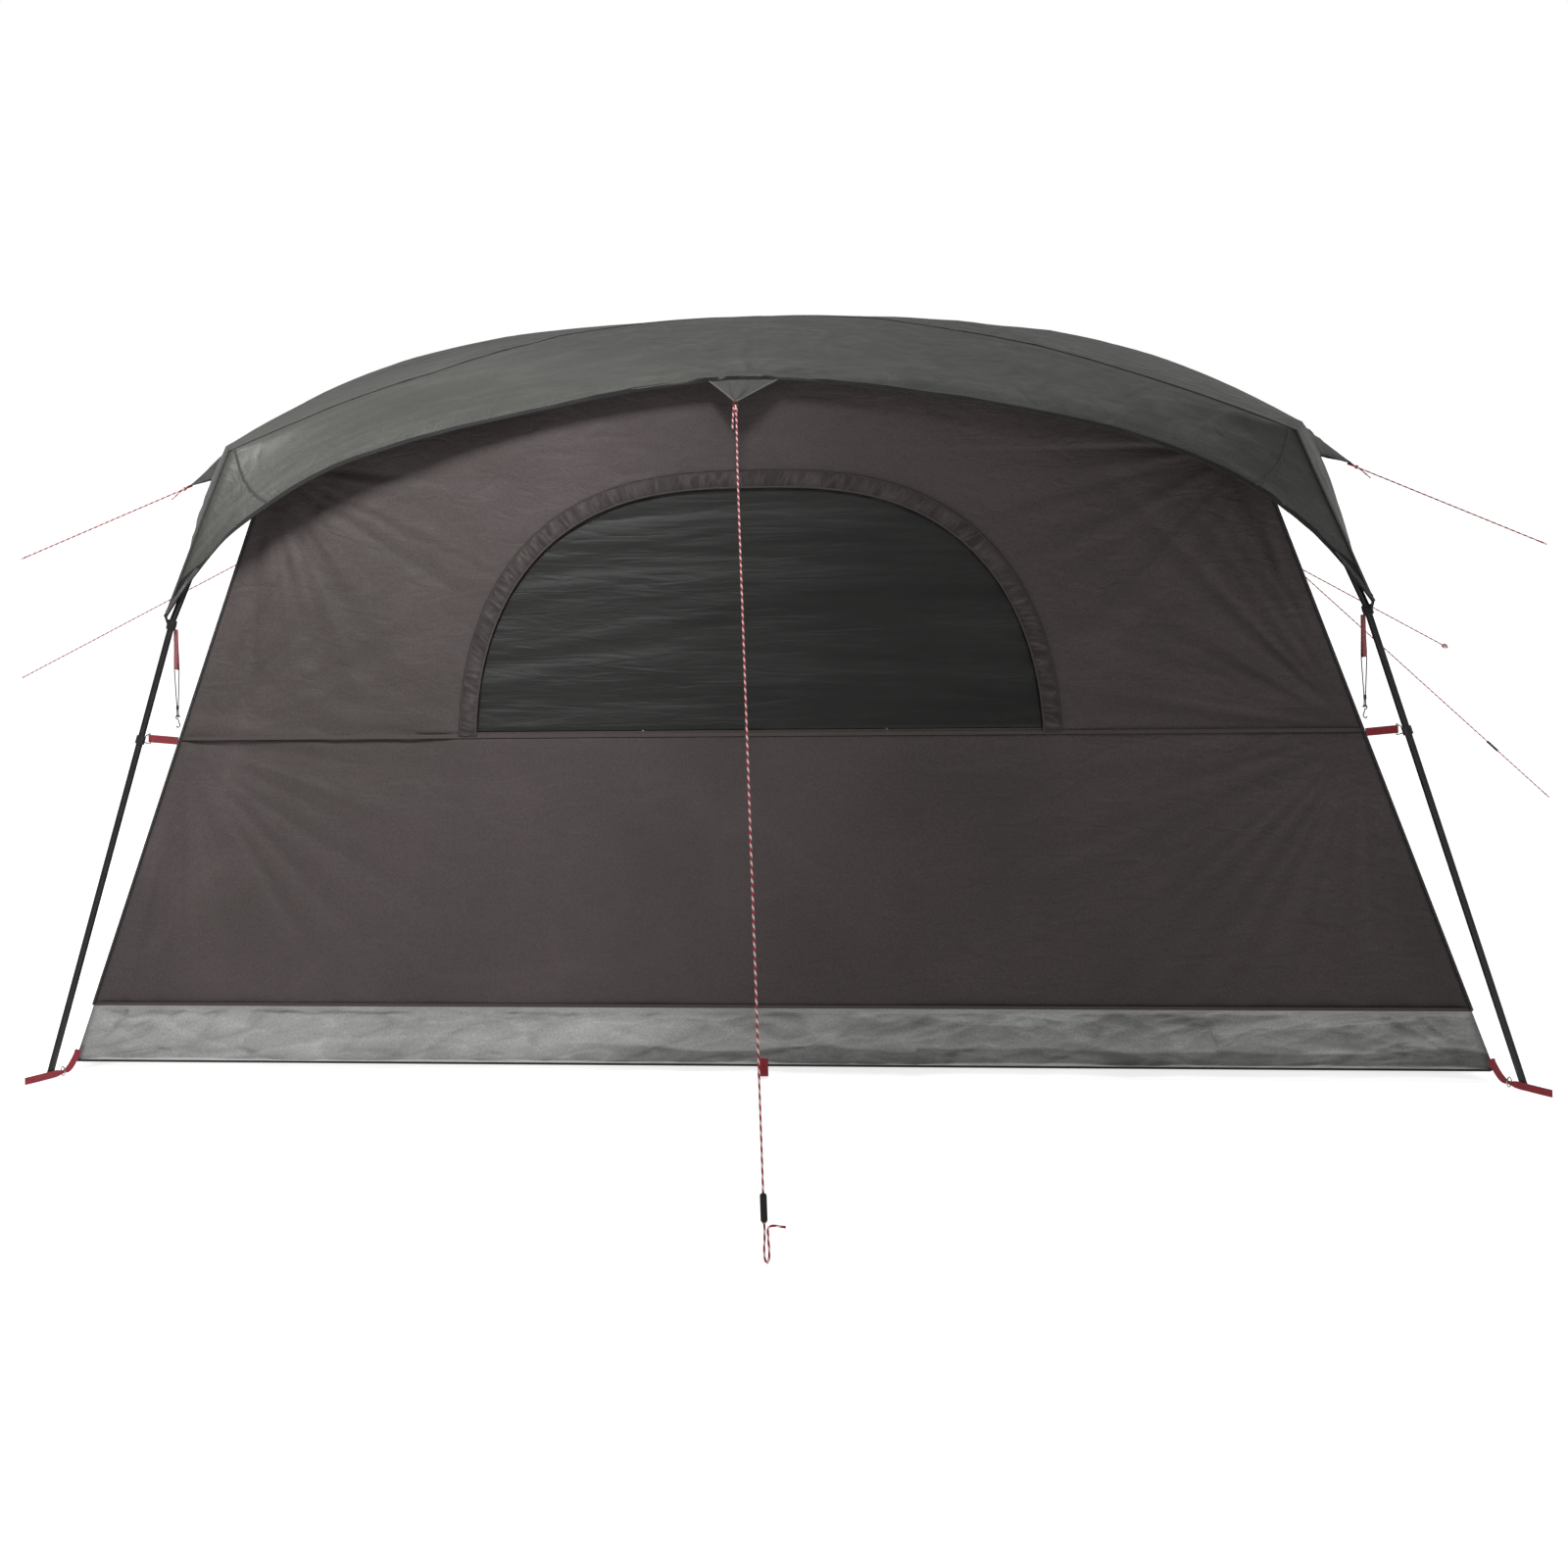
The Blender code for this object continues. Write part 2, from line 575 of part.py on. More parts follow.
def build_hanger(corner):
    """Webbing, elastic and hook that pull the inner tent's corner up to the fly."""
    root = math.sqrt(2)
    place = corner_place(corner)
    line = HANG_REACH * root - 0.014
    half = 0.0036

    def strap_place(z, r, w):
        return place(line + r, z, w - STRAP_WIDTH / 2)
    outline = [(HANG_TOP, 0.0012), (HANG_LOW + 0.012, 0.0016), (HANG_LOW + 0.004, half), (HANG_LOW, 0.0018)]
    outline += [(HANG_LOW, -0.0018), (HANG_LOW + 0.004, -half), (HANG_LOW + 0.012, -0.0016), (HANG_TOP, -0.0012)]
    strap = prism("hanger_strap_" + corner, outline, strap_place, STRAP_WIDTH, RED_WEB)
    eye = tube_mesh("hanger_eye", [place(line, HANG_LOW + 0.0052, w) for w in (-0.03, 0.03)], 0.0021)
    boolean(strap, eye, "DIFFERENCE")
    knot = 1.082
    loop = [place(line, HANG_LOW + 0.0052, w) for w in (-0.006, 0.0, 0.006)]
    loop += [place(line, HANG_LOW + 0.0045, 0.0145), place(line, HANG_LOW - 0.010, 0.0152)]
    loop += [place(line, 1.14, 0.010), place(line, knot, 0.0042), place(line, 1.058, 0.0048)]
    loop += [place(line, 1.0525, 0.0022), place(line, 1.0525, -0.0022), place(line, 1.058, -0.0048), place(line, knot, -0.0042)]
    loop += [place(line, 1.14, -0.010), place(line, HANG_LOW - 0.010, -0.0152)]
    loop += [place(line, HANG_LOW + 0.0045, -0.0145)]
    tube("elastic_loop_" + corner, loop, ELASTIC_RADIUS, ELASTIC, closed=True)
    radius = 0.0065
    hook = []
    for k in range(11):
        angle = math.radians(200 - 300 * k / 10)
        hook.append(place(line + radius * math.cos(angle), 1.0515 + radius * math.sin(angle), 0.0))
    for k in range(1, 11):
        angle = math.radians(100 + 240 * k / 10)
        hook.append(place(line + radius * math.cos(angle), 1.0265 + 0.008 * math.sin(angle), 0.0))
    tube("hook_" + corner, hook, 0.0019, PLASTIC)


def build_fittings():
    for corner in CORNERS:
        build_base_corner(corner)
        build_mid_clip(corner)
        build_corner_webbing(corner)
    for corner in ("rear_left", "rear_right"):
        build_hanger(corner)
    face = wall_place("rear", -0.0012)
    outline = [(-0.011, 0.045), (-0.011, 0.010), (0.011, 0.010), (0.011, 0.045)]

    def loop_place(u, v, w):
        x, y, z = face(u, v, 0.0)
        return (x, y - w, z)
    prism("peg_loop_rear", outline, loop_place, 0.006, RED_WEB)


# ---------------------------------------------------------------- guy lines

CENTRE_TOP = Vector((-0.046, -1.694, 2.010))
CENTRE_PEG = Vector((0.010, -3.427, 0.0045))
RUNNER_AT = 0.952


def centre_route():
    line = CENTRE_PEG - CENTRE_TOP
    along = line.normalized()
    tail_start = CENTRE_TOP + along * 0.09 + Vector((-0.011, -0.004, 0.0))
    spots = [tail_start, CENTRE_TOP + along * 0.03 + Vector((-0.0075, 0.0, 0.0)), CENTRE_TOP + Vector((-0.004, 0, 0))]
    spots += [CENTRE_TOP + along * 0.02 + Vector((0.0025, 0, 0))]
    spots += [CENTRE_TOP + line * share for share in (0.12, 0.3, 0.5, 0.7, 0.85, RUNNER_AT, 0.975)]
    spots += [CENTRE_PEG - along * 0.02 + Vector((-0.0025, 0.0, 0.0)), CENTRE_PEG + Vector((0.0035, 0.0, 0.0))]
    back = CENTRE_TOP + line * 0.980 + Vector((0.0085, 0.0, 0.0))
    near_runner = CENTRE_TOP + line * 0.9695 + Vector((0.0090, 0.0, 0.0))
    spots += [CENTRE_PEG - along * 0.02 + Vector((0.0095, 0.0, 0.0)), back, near_runner]
    spots += [near_runner + Vector((0.012, 0.0, 0.006)), near_runner + Vector((0.042, -0.003, 0.004))]
    return smooth_route(spots, 64)


def line_with_tail(tip, end, side, tail=0.07):
    """Route of a guy line that turns back at the tab, with a short tail and a loop at the far end."""
    tip, end, side = Vector(tip), Vector(end), Vector(side)
    along = (end - tip).normalized()
    spots = [tip + along * tail - side * 0.012 + Vector((0, 0, -0.022)), tip + along * 0.02 - side * 0.0045]
    spots += [tip, tip + along * 0.02 + side * 0.0045]
    spots += [tip + (end - tip) * share for share in (0.15, 0.35, 0.6, 0.85)]
    spots += [end - along * 0.035, end - along * 0.012 + side * 0.007, end, end - along * 0.012 - side * 0.007]
    spots += [end - along * 0.03 - side * 0.0075]
    return smooth_route(spots, 49)


def build_guys():
    tube("guy_line_rear", centre_route(), GUY_RADIUS, ROPE)
    tube("guy_line_left", line_with_tail((-2.362, 0, 1.716), (-3.085, 0, 1.428), (0, 1, 0)), GUY_RADIUS, ROPE)
    tube("guy_line_right", line_with_tail((2.362, 0, 1.716), (3.095, 0, 1.392), (0, 1, 0)), GUY_RADIUS, ROPE)
    left = line_with_tail((-1.862, 1.862, 1.645), (-3.795, 1.80, 0.681), (0, 1, 0), 0.05)
    tube("guy_line_front_left", left, GUY_RADIUS, ROPE)
    right = line_with_tail((1.862, 1.862, 1.585), (3.318, 1.85, 0.747), (0, 1, 0), 0.05)
    tube("guy_line_front_right", right, GUY_RADIUS, ROPE)
    steep = line_with_tail((1.80, 1.68, 1.895), (3.79, 1.90, 0.012), (0, 1, 0), 0.05)
    tube("guy_line_front_right_steep", steep, GUY_RADIUS, ROPE)


def runner(name, centre, along, wide):
    """A flat plastic tensioner with a bore for the line and a hook-shaped end hole."""
    along = Vector(along).normalized()
    wide = Vector(wide)
    wide = (wide - along * wide.dot(along)).normalized()
    deep = along.cross(wide)
    outline = [(-0.034, 0.004), (-0.030, 0.0085), (0.028, 0.0085), (0.034, 0.004)]
    outline += [(0.034, -0.004), (0.028, -0.0085), (-0.030, -0.0085), (-0.034, -0.004)]

    def place(u, v, w):
        return Vector(centre) + along * u + wide * v + deep * (w - 0.005)
    body = prism(name, outline, place, 0.010, PLASTIC)
    ends = [Vector(centre) - along * 0.05, Vector(centre) + along * 0.05]
    boolean(body, tube_mesh(name + "_bore", ends, 0.0037), "DIFFERENCE")


def build_runners():
    line = CENTRE_PEG - CENTRE_TOP
    runner("runner_rear", CENTRE_TOP + line * RUNNER_AT, line, (1, 0, 0))
    top, end = Vector((1.80, 1.68, 1.895)), Vector((3.79, 1.90, 0.012))
    runner("runner_front_right", top + (end - top) * 0.865, end - top, (0, 1, 0))


build_poles()
build_floor()
build_walls()
build_ceiling()
build_fly()
build_fittings()
build_guys()
build_runners()
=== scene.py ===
"""Family tent on poles: its cloth, webbing, cords and finishes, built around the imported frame.

Lengths are in metres. The origin is on the ground under the peak, +Z is up, -Y is the rear wall with
the arched window and +Y is the front with the door.
"""

import math

import bmesh
import bpy
import numpy as np
from mathutils import Matrix, Vector


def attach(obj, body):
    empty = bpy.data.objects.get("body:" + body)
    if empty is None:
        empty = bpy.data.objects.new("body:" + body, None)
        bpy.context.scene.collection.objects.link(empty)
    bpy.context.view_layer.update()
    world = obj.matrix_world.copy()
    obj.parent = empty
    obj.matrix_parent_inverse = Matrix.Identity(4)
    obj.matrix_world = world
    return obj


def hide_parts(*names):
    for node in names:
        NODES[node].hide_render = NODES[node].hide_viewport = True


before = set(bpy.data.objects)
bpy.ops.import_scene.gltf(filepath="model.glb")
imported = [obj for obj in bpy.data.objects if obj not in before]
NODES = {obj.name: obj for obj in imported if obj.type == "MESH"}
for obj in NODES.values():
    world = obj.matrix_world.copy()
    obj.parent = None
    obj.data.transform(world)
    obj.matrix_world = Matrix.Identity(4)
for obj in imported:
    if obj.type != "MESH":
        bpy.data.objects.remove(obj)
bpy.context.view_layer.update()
CORNERS = {"rear_left": (-1, -1), "rear_right": (1, -1), "front_left": (-1, 1), "front_right": (1, 1)}
ROOT = math.sqrt(2)

# Sizes shared with the frame
PEAK = 2.364
BASE_HALF, WALL_LEAN = 2.133, 0.288
TRAY_HEIGHT, SEAM_HEIGHT = 0.192, 0.978
WINDOW_HALF, WINDOW_RISE, COVER_WIDTH = 0.89, 0.765, 0.055
DOOR_HALF, DOOR_SILL, DOOR_STRAIGHT, DOOR_HEAD = 0.62, 0.23, 1.25, 1.78
FLY_SHOULDER, FLY_CORNER = 1.71, 1.882
# Tabs: half width as a share of the side, then how far the tip stands along, out and down
REAR_TAB, FRONT_TAB = (0.056, -0.046, 0.085, 0.075), (0.056, 0.0, 0.085, 0.075)
SIDE_TAB = (0.14, 0.0, 0.178, 0.105)
STRAP_WIDTH = 0.024
WALL_CROWN, WALL_CROWN_FALL, WALL_TOP_HALF = 2.115, 0.265, 1.6
PULL_CORNER = (1.62, 1.86)
# The leg's reach along each axis at its foot and at its top, and the height of that top
LEG_FOOT, LEG_HEAD, LEG_HEIGHT = 2.185, 1.863, 1.365
BAND_FOOT = 0.034
ROPE_RADIUS = 0.003


# ---------------------------------------------------------------- camera

def place_camera():
    """Camera behind the tent at eye height, turned 5 degrees to the left and rolled 1.3 degrees."""
    turn, roll = math.radians(-5.06), math.radians(1.29)
    ahead = Vector((math.sin(turn), math.cos(turn), 0.0))
    level = Vector((math.cos(turn), -math.sin(turn), 0.0))
    right = level * math.cos(roll) - Vector((0, 0, math.sin(roll)))
    up = level * math.sin(roll) + Vector((0, 0, math.cos(roll)))
    lens = bpy.data.cameras.new("camera")
    lens.sensor_width = 36.0
    lens.lens = 45.54
    lens.shift_x, lens.shift_y = 0.1214, -0.2444
    lens.clip_end = 200.0
    item = bpy.data.objects.new("camera", lens)
    bpy.context.scene.collection.objects.link(item)
    turned = Matrix((right, up, -ahead)).transposed()
    item.matrix_world = Matrix.Translation((0.064, -8.1, 2.04)) @ turned.to_4x4()
    bpy.context.scene.camera = item


place_camera()


# ---------------------------------------------------------------- finishes

def linear(code):
    """An sRGB hex colour as linear RGBA."""
    parts = np.array([int(code[i:i + 2], 16) / 255 for i in (1, 3, 5)])
    low, high = parts / 12.92, ((parts + 0.055) / 1.055) ** 2.4
    return (*np.where(parts <= 0.04045, low, high).tolist(), 1.0)


def put(tree, kind, settings, feeds):
    """Adds one node with its settings; feeds are numbers, colours or links for its inputs."""
    item = tree.nodes.new("ShaderNode" + kind)
    for key, value in settings.items():
        setattr(item, key, value)
    for key, value in feeds.items():
        if isinstance(value, bpy.types.NodeSocket):
            tree.links.new(value, item.inputs[key])
        else:
            item.inputs[key].default_value = value
    return item


# Socket numbers of the colour mix node
MIX_A, MIX_B, MIX_OUT = 6, 7, 2


def maths(tree, operation, *values):
    return put(tree, "Math", {"operation": operation}, dict(enumerate(values))).outputs[0]


def remap(tree, value, low, high, start, end):
    """Carries low to start and high to end."""
    return put(tree, "MapRange", {}, {0: value, 1: low, 2: high, 3: start, 4: end}).outputs[0]


def mixed(tree, share, first, second):
    feeds = {0: share, MIX_A: first, MIX_B: second}
    return put(tree, "Mix", {"data_type": "RGBA"}, feeds).outputs[MIX_OUT]


def scaled(tree, colour, level):
    return put(tree, "VectorMath", {"operation": "SCALE"}, {0: colour, "Scale": level}).outputs[0]


def noise(tree, coords, scale, detail, kind="FBM", **more):
    feeds = {"Vector": coords, "Scale": scale, "Detail": detail, **more}
    return put(tree, "TexNoise", {"noise_type": kind}, feeds).outputs["Fac"]


def bumped(tree, strength, distance, height, **more):
    feeds = {"Strength": strength, "Distance": distance, "Height": height, **more}
    return put(tree, "Bump", {}, feeds).outputs[0]


def join(tree, shader, **links):
    """Links outputs to the shader's Base_Color, Roughness and Normal."""
    for name, source in links.items():
        tree.links.new(source, shader.inputs[name.replace("_", " ")])


def blank(name, roughness, metallic=0.0, specular=0.5, sheen=0.0, ior=1.5):
    """A material with its even values set on the shader itself."""
    made = bpy.data.materials.new(name)
    made.use_nodes = True
    shader = made.node_tree.nodes["Principled BSDF"]
    shader.inputs["Roughness"].default_value = roughness
    shader.inputs["Metallic"].default_value = metallic
    shader.inputs["Specular IOR Level"].default_value = specular
    shader.inputs["Sheen Weight"].default_value = sheen
    shader.inputs["Sheen Roughness"].default_value = 0.4
    shader.inputs["IOR"].default_value = ior
    return made, made.node_tree, shader


# A wave texture of scale 1 repeats every 0.314 m
WAVE_UNIT = 0.314
THREAD_SPACING = 0.0025
# How far a fully folded point is painted paler than a flat one: a painted highlight on the folds; values below
# 0 paint shade
FOLD_PAINTED_LIGHT = 0.9


def thread_height(tree, coords, spacing):
    """Crossed threads: one wave across each axis, added together. Taffeta threads are 0.2 mm apart,
    too fine to show, so spacing is as coarse as the eye needs."""
    waves = []
    for axis in ("X", "Y", "Z"):
        wave = put(tree, "TexWave", {"wave_type": "BANDS", "bands_direction": axis},
                   {"Vector": coords, "Scale": WAVE_UNIT / spacing, "Distortion": 0.4, "Detail": 1.0})
        waves.append(wave.outputs["Fac"])
    return maths(tree, "ADD", maths(tree, "ADD", waves[0], waves[1]), waves[2])


def cloth_finish(name, light, dark, roughness, specular, sheen, crumple, stretch=(1, 1, 1), scale=5.0,
                 shine=0.08, alpha=1.0):
    """Coated woven cloth: broad and fine colour drift, crossed threads, small creases that catch light, and
    painted highlights and shade on the folds read from the crease attribute.
    """
    made, tree, shader = blank(name, roughness, 0.0, specular, sheen)
    coords = put(tree, "TexCoord", {}, {}).outputs["Object"]
    pulled = put(tree, "Mapping", {}, {"Vector": coords, "Scale": stretch}).outputs[0]
    broad = noise(tree, coords, 1.1, 3.0, Roughness=0.55)
    mottle = noise(tree, coords, 160.0, 2.0)
    crease = noise(tree, pulled, scale, 5.0, "RIDGED_MULTIFRACTAL", Roughness=0.5, Distortion=0.7)
    fold = noise(tree, pulled, scale * 2.2, 4.0, Distortion=1.2)
    tone = mixed(tree, remap(tree, broad, 0.35, 0.68, 0.0, 1.0), linear(light), linear(dark))
    # Painted light from the crease attribute: paler folds are painted highlights, values below 0 are painted
    # shade
    folded = put(tree, "Attribute", {"attribute_name": "crease"}, {}).outputs["Fac"]
    pale = maths(tree, "MULTIPLY_ADD", folded, FOLD_PAINTED_LIGHT, 1.0)
    level = maths(tree, "MULTIPLY", pale, remap(tree, mottle, 0.3, 0.7, 0.86, 1.12))
    threads = bumped(tree, 0.05, 0.0004, thread_height(tree, coords, THREAD_SPACING))
    folds = maths(tree, "MULTIPLY_ADD", crease, 0.35, fold)
    join(tree, shader, Base_Color=scaled(tree, tone, level),
         Roughness=remap(tree, fold, 0.3, 0.7, roughness - shine, roughness + shine),
         Normal=bumped(tree, crumple, 0.010, folds, Normal=threads))
    shader.inputs["Alpha"].default_value = alpha
    return made


def webbing_finish(name, light, dark, edge):
    """Polyester webbing: slanted ribs across its width, read from the strap's own map, in metres."""
    made, tree, shader = blank(name, 0.72, 0.0, 0.3, 0.25)
    lane = put(tree, "UVMap", {}, {}).outputs[0]
    weave_shade_and_relief = put(tree, "TexWave", {"bands_direction": "DIAGONAL"},
                {"Vector": lane, "Scale": 95.0, "Distortion": 0.5, "Detail": 1.0})
    ribs = put(tree, "TexWave", {"bands_direction": "Y"}, {"Vector": lane, "Scale": 90.0, "Distortion": 0.3})
    weave_shade_and_relief, ribs = weave_shade_and_relief.outputs["Fac"], ribs.outputs["Fac"]
    worn = remap(tree, noise(tree, lane, 60.0, 4.0), 0.55, 0.8, 0.0, 0.5)
    # Darker and paler along the diagonal weave: painted shade in the weave's grooves; the same waves also make
    # the bump
    tone = mixed(tree, weave_shade_and_relief, linear(dark), linear(light))
    join(tree, shader, Base_Color=mixed(tree, worn, tone, linear(edge)),
         Normal=bumped(tree, 0.6, 0.0006, maths(tree, "ADD", weave_shade_and_relief, ribs)))
    return made


def rope_finish(name, main, fleck, pitch, share):
    """Braided guy rope: slanted flecks wind round a plain braid. The map holds turns round the rope and
    metres along it, so a fleck is a band of (turns + length / pitch)."""
    made, tree, shader = blank(name, 0.75, 0.0, 0.3, 0.2)
    lane = put(tree, "UVMap", {}, {}).outputs[0]
    turns, along = put(tree, "SeparateXYZ", {}, {0: lane}).outputs[:2]
    wind = maths(tree, "MULTIPLY_ADD", turns, 1.0, maths(tree, "MULTIPLY", along, 1 / pitch))
    band = maths(tree, "LESS_THAN", maths(tree, "FRACT", wind), share)
    strands = maths(tree, "MULTIPLY_ADD", turns, 8.0, maths(tree, "MULTIPLY", along, 400.0))
    # Darker between the strands and a touch paler on their crowns: painted shade and painted highlight; the
    # same pattern is the bump
    strand_painted_shade_and_relief = maths(tree, "PINGPONG", strands, 1.0)
    tone = mixed(tree, band, linear(main), linear(fleck))
    join(tree, shader, Base_Color=scaled(tree, tone, remap(tree, strand_painted_shade_and_relief, 0.0, 1.0, 0.55, 1.1)),
         Normal=bumped(tree, 0.7, 0.0006, strand_painted_shade_and_relief))
    return made


def hard_finish(name, light, dark, roughness, metallic, grain, specular=0.5):
    """Hard finishes: a skin with fine grain in its gloss and faint scuffs in its colour."""
    made, tree, shader = blank(name, roughness, metallic, specular)
    coords = put(tree, "TexCoord", {}, {}).outputs["Object"]
    scuff = noise(tree, coords, 38.0, 6.0, Roughness=0.7)
    worn = remap(tree, scuff, 0.52, 0.75, 0.0, 1.0)
    join(tree, shader, Base_Color=mixed(tree, worn, linear(dark), linear(light)),
         Roughness=remap(tree, scuff, 0.3, 0.7, roughness - 0.07, roughness + 0.1),
         Normal=bumped(tree, 0.25, 0.0003, noise(tree, coords, grain, 2.0)))
    return made


# Polyurethane-coated polyester taffeta, dyed brown: a dull skin with a faint sheen and small pulled creases
WALL = cloth_finish("brown_coated_taffeta", "#484040", "#3e3837", 0.62, 0.2, 0.05, 0.5, (1, 1, 2.2), 4.0)
# The cover strip over the window zip: the wall's taffeta doubled and drawn up; its colours, darker than the
# wall's, are painted shade, and it is painted darker still between its puckers
COVER = cloth_finish("puckered_cover_taffeta_painted_shade", "#373130", "#2d2928", 0.6, 0.22, 0.05, 0.5, (1, 1, 1), 7.0)
# The same taffeta on the fly, dyed grey-green and more heavily coated: a slightly slicker face
FLY = cloth_finish("grey_green_fly_taffeta", "#494946", "#3d3d3a", 0.52, 0.26, 0.05, 0.6, (1, 1, 1), 4.5, 0.1)
# The fly's uncoated underside shows the brown back of the cloth
FLY_BACK = cloth_finish("brown_fly_underside", "#5d5350", "#514845", 0.7, 0.2, 0.05, 0.4, (1, 1, 1), 4.5)
# Woven polyethylene tarpaulin: a pale, slightly waxy sheet full of sharp creases
TRAY = cloth_finish("pale_grey_woven_polyethylene", "#959593", "#7b7b79", 0.46, 0.35, 0.0, 0.5, (1, 1, 2.5),
                    6.0, 0.12)
# No-see-um mesh of black polyester: a dark veil that lets the flap behind show
VEIL = cloth_finish("black_insect_mesh", "#262625", "#20201f", 0.5, 0.22, 0.03, 0.4, (0.6, 1, 5.0), 3.0,
                    0.05, 0.85)
# Charcoal flap behind the mesh: coated taffeta in soft horizontal folds
FLAP = cloth_finish("charcoal_flap_taffeta", "#323130", "#292828", 0.6, 0.3, 0.05, 0.5, (0.6, 1, 5.0), 5.0)
# Polyester binding tape, black: ribbed edge trim
BINDING = webbing_finish("black_binding_tape", "#1f1f1f", "#121212", "#2a2a2a")
# Polyester webbing, deep red: ribbed, with a lighter bloom where it rubs
RED_WEB = webbing_finish("deep_red_webbing", "#a02c36", "#74202a", "#b0505a")
BLACK_WEB = webbing_finish("black_webbing", "#1c1c1c", "#101010", "#2c2c2c")
# The same black polyester, sewn flat over the fly's corners
BLACK_WEB_PATCH = cloth_finish("black_corner_patch", "#1d1d1d", "#121212", 0.7, 0.25, 0.1, 0.4)
# Braided polypropylene guy rope: red with white flecks
ROPE = rope_finish("red_white_braided_rope", "#b4303c", "#f0e4e0", 0.026, 0.42)
# Covered rubber cord: dull black braid
ELASTIC = rope_finish("black_elastic_cord", "#1a1a1b", "#2a2a2c", 0.006, 0.4)
# Powder-coated steel tube: satin black with a long soft highlight
LEG_STEEL = hard_finish("black_powder_coated_steel", "#1c1c1d", "#0c0c0d", 0.38, 0.0, 900.0)
# Pultruded fibreglass: smooth dark rod
ROD = hard_finish("dark_fibreglass_rod", "#26272a", "#17181a", 0.32, 0.0, 500.0)
# Injection-moulded acetal: black, softly glossy
MOULDED = hard_finish("black_moulded_acetal", "#1d1d1e", "#0f0f10", 0.42, 0.0, 1200.0)
# Nickel-plated steel wire: bright metal with fine polishing scratches
NICKEL = hard_finish("nickel_plated_steel", "#c9c9c6", "#a9a9a7", 0.22, 1.0, 1500.0)


# ---------------------------------------------------------------- surfaces

def value_noise(x, y, seed, smooth=True):
    """Random heights from 0 to 1: seeded numbers on a lattice, blended by a cubic ramp or a straight one."""
    table = np.random.default_rng(seed).random((64, 64))
    column, row = np.floor(x).astype(int), np.floor(y).astype(int)
    fx, fy = x - column, y - row
    if smooth:
        fx, fy = fx * fx * (3 - 2 * fx), fy * fy * (3 - 2 * fy)
    west = table[column % 64, row % 64] * (1 - fy) + table[column % 64, (row + 1) % 64] * fy
    east = table[(column + 1) % 64, row % 64] * (1 - fy) + table[(column + 1) % 64, (row + 1) % 64] * fy
    return west * (1 - fx) + east * fx


def creases(x, y, seed, sharp=2.0):
    """Creases from 0 to 1: noise folded about its middle level, so that the level line becomes a ridge.
    Straight ramps on a lattice turned by 35 degrees keep the ridges straight."""
    turned = 0.819 * x + 0.574 * y, 0.819 * y - 0.574 * x
    return (1 - np.abs(2 * value_noise(*turned, seed, False) - 1)) ** sharp


def rumple(x, y, seed):
    """Layered creases: three sizes, each half as high, on coordinates bent by a slow noise."""
    bend_x = x + 1.2 * value_noise(x * 0.7, y * 0.7, seed + 7)
    bend_y = y + 1.2 * value_noise(x * 0.7 + 9, y * 0.7, seed + 8)
    total = 0.0
    for octave in range(3):
        size = 2.0**octave
        total = total + creases(bend_x * size, bend_y * size, seed + octave) / size
    return total / 1.75


def fan(x, y, at, seed, spread, reach):
    """Pulled folds that radiate from a fixed point and fade within reach of it."""
    dx, dy = x - at[0], y - at[1]
    away = np.hypot(dx, dy)
    angle = np.arctan2(dy, dx)
    fade = np.exp(-((away / reach) ** 2)) * np.clip(away / (0.35 * reach), 0, 1)
    return creases(angle * spread + 20, away * 0.8 + 3, seed, 1.5) * fade


def mesh_piece(name, points, quads, finish, uv=None, smooth=True):
    """Puts arrays of points and four-sided faces into a mesh, with a map where one is given."""
    mesh = bpy.data.meshes.new(name)
    mesh.vertices.add(len(points))
    mesh.vertices.foreach_set("co", np.ascontiguousarray(points, np.float32).ravel())
    mesh.loops.add(quads.size)
    mesh.loops.foreach_set("vertex_index", quads.ravel().astype(np.int32))
    mesh.polygons.add(len(quads))
    mesh.polygons.foreach_set("loop_start", np.arange(0, quads.size, 4, dtype=np.int32))
    mesh.polygons.foreach_set("use_smooth", np.full(len(quads), smooth))
    mesh.update(calc_edges=True)
    if uv is not None:
        mesh.uv_layers.new(name="along").data.foreach_set("uv", uv.astype(np.float32).ravel())
    mesh.materials.append(finish)
    item = bpy.data.objects.new(name, mesh)
    bpy.context.scene.collection.objects.link(item)
    return item


def grid_quads(rows, columns, wrap_rows=False, wrap_columns=False):
    """Corner numbers of a grid's quads, and the unwrapped row and column of every corner."""
    last_row, last_column = rows - (not wrap_rows), columns - (not wrap_columns)
    r, c = np.meshgrid(np.arange(last_row), np.arange(last_column), indexing="ij")
    r = np.stack([r, r, r + 1, r + 1], -1).reshape(-1, 4)
    c = np.stack([c, c + 1, c + 1, c], -1).reshape(-1, 4)
    return (r % rows) * columns + c % columns, r, c


def sheet_piece(name, points, finish, wrap=False, thick=0.0012, back=None, flip=False, crease=None):
    """Cloth from a grid of points (rows, columns, xyz), given its thickness by Solidify. crease is painted
    light for each point, mostly from 0 to 1, which the finish reads as painted highlights on the folds; values
    below 0 are painted shade."""
    rows, columns = points.shape[:2]
    quads = grid_quads(rows, columns, False, wrap)[0]
    if flip:
        quads = quads[:, ::-1]
    item = mesh_piece(name, points.reshape(-1, 3), quads, finish)
    if crease is not None:
        values = np.broadcast_to(crease, (rows, columns)).astype(np.float32).ravel()
        item.data.attributes.new("crease", "FLOAT", "POINT").data.foreach_set("value", values)
    if back is not None:
        item.data.materials.append(back)
    shell = item.modifiers.new("thickness", "SOLIDIFY")
    shell.thickness = thick
    shell.offset = -1.0
    shell.use_even_offset = False
    shell.material_offset = 1 if back is not None else 0
    shell.material_offset_rim = 0
    return item


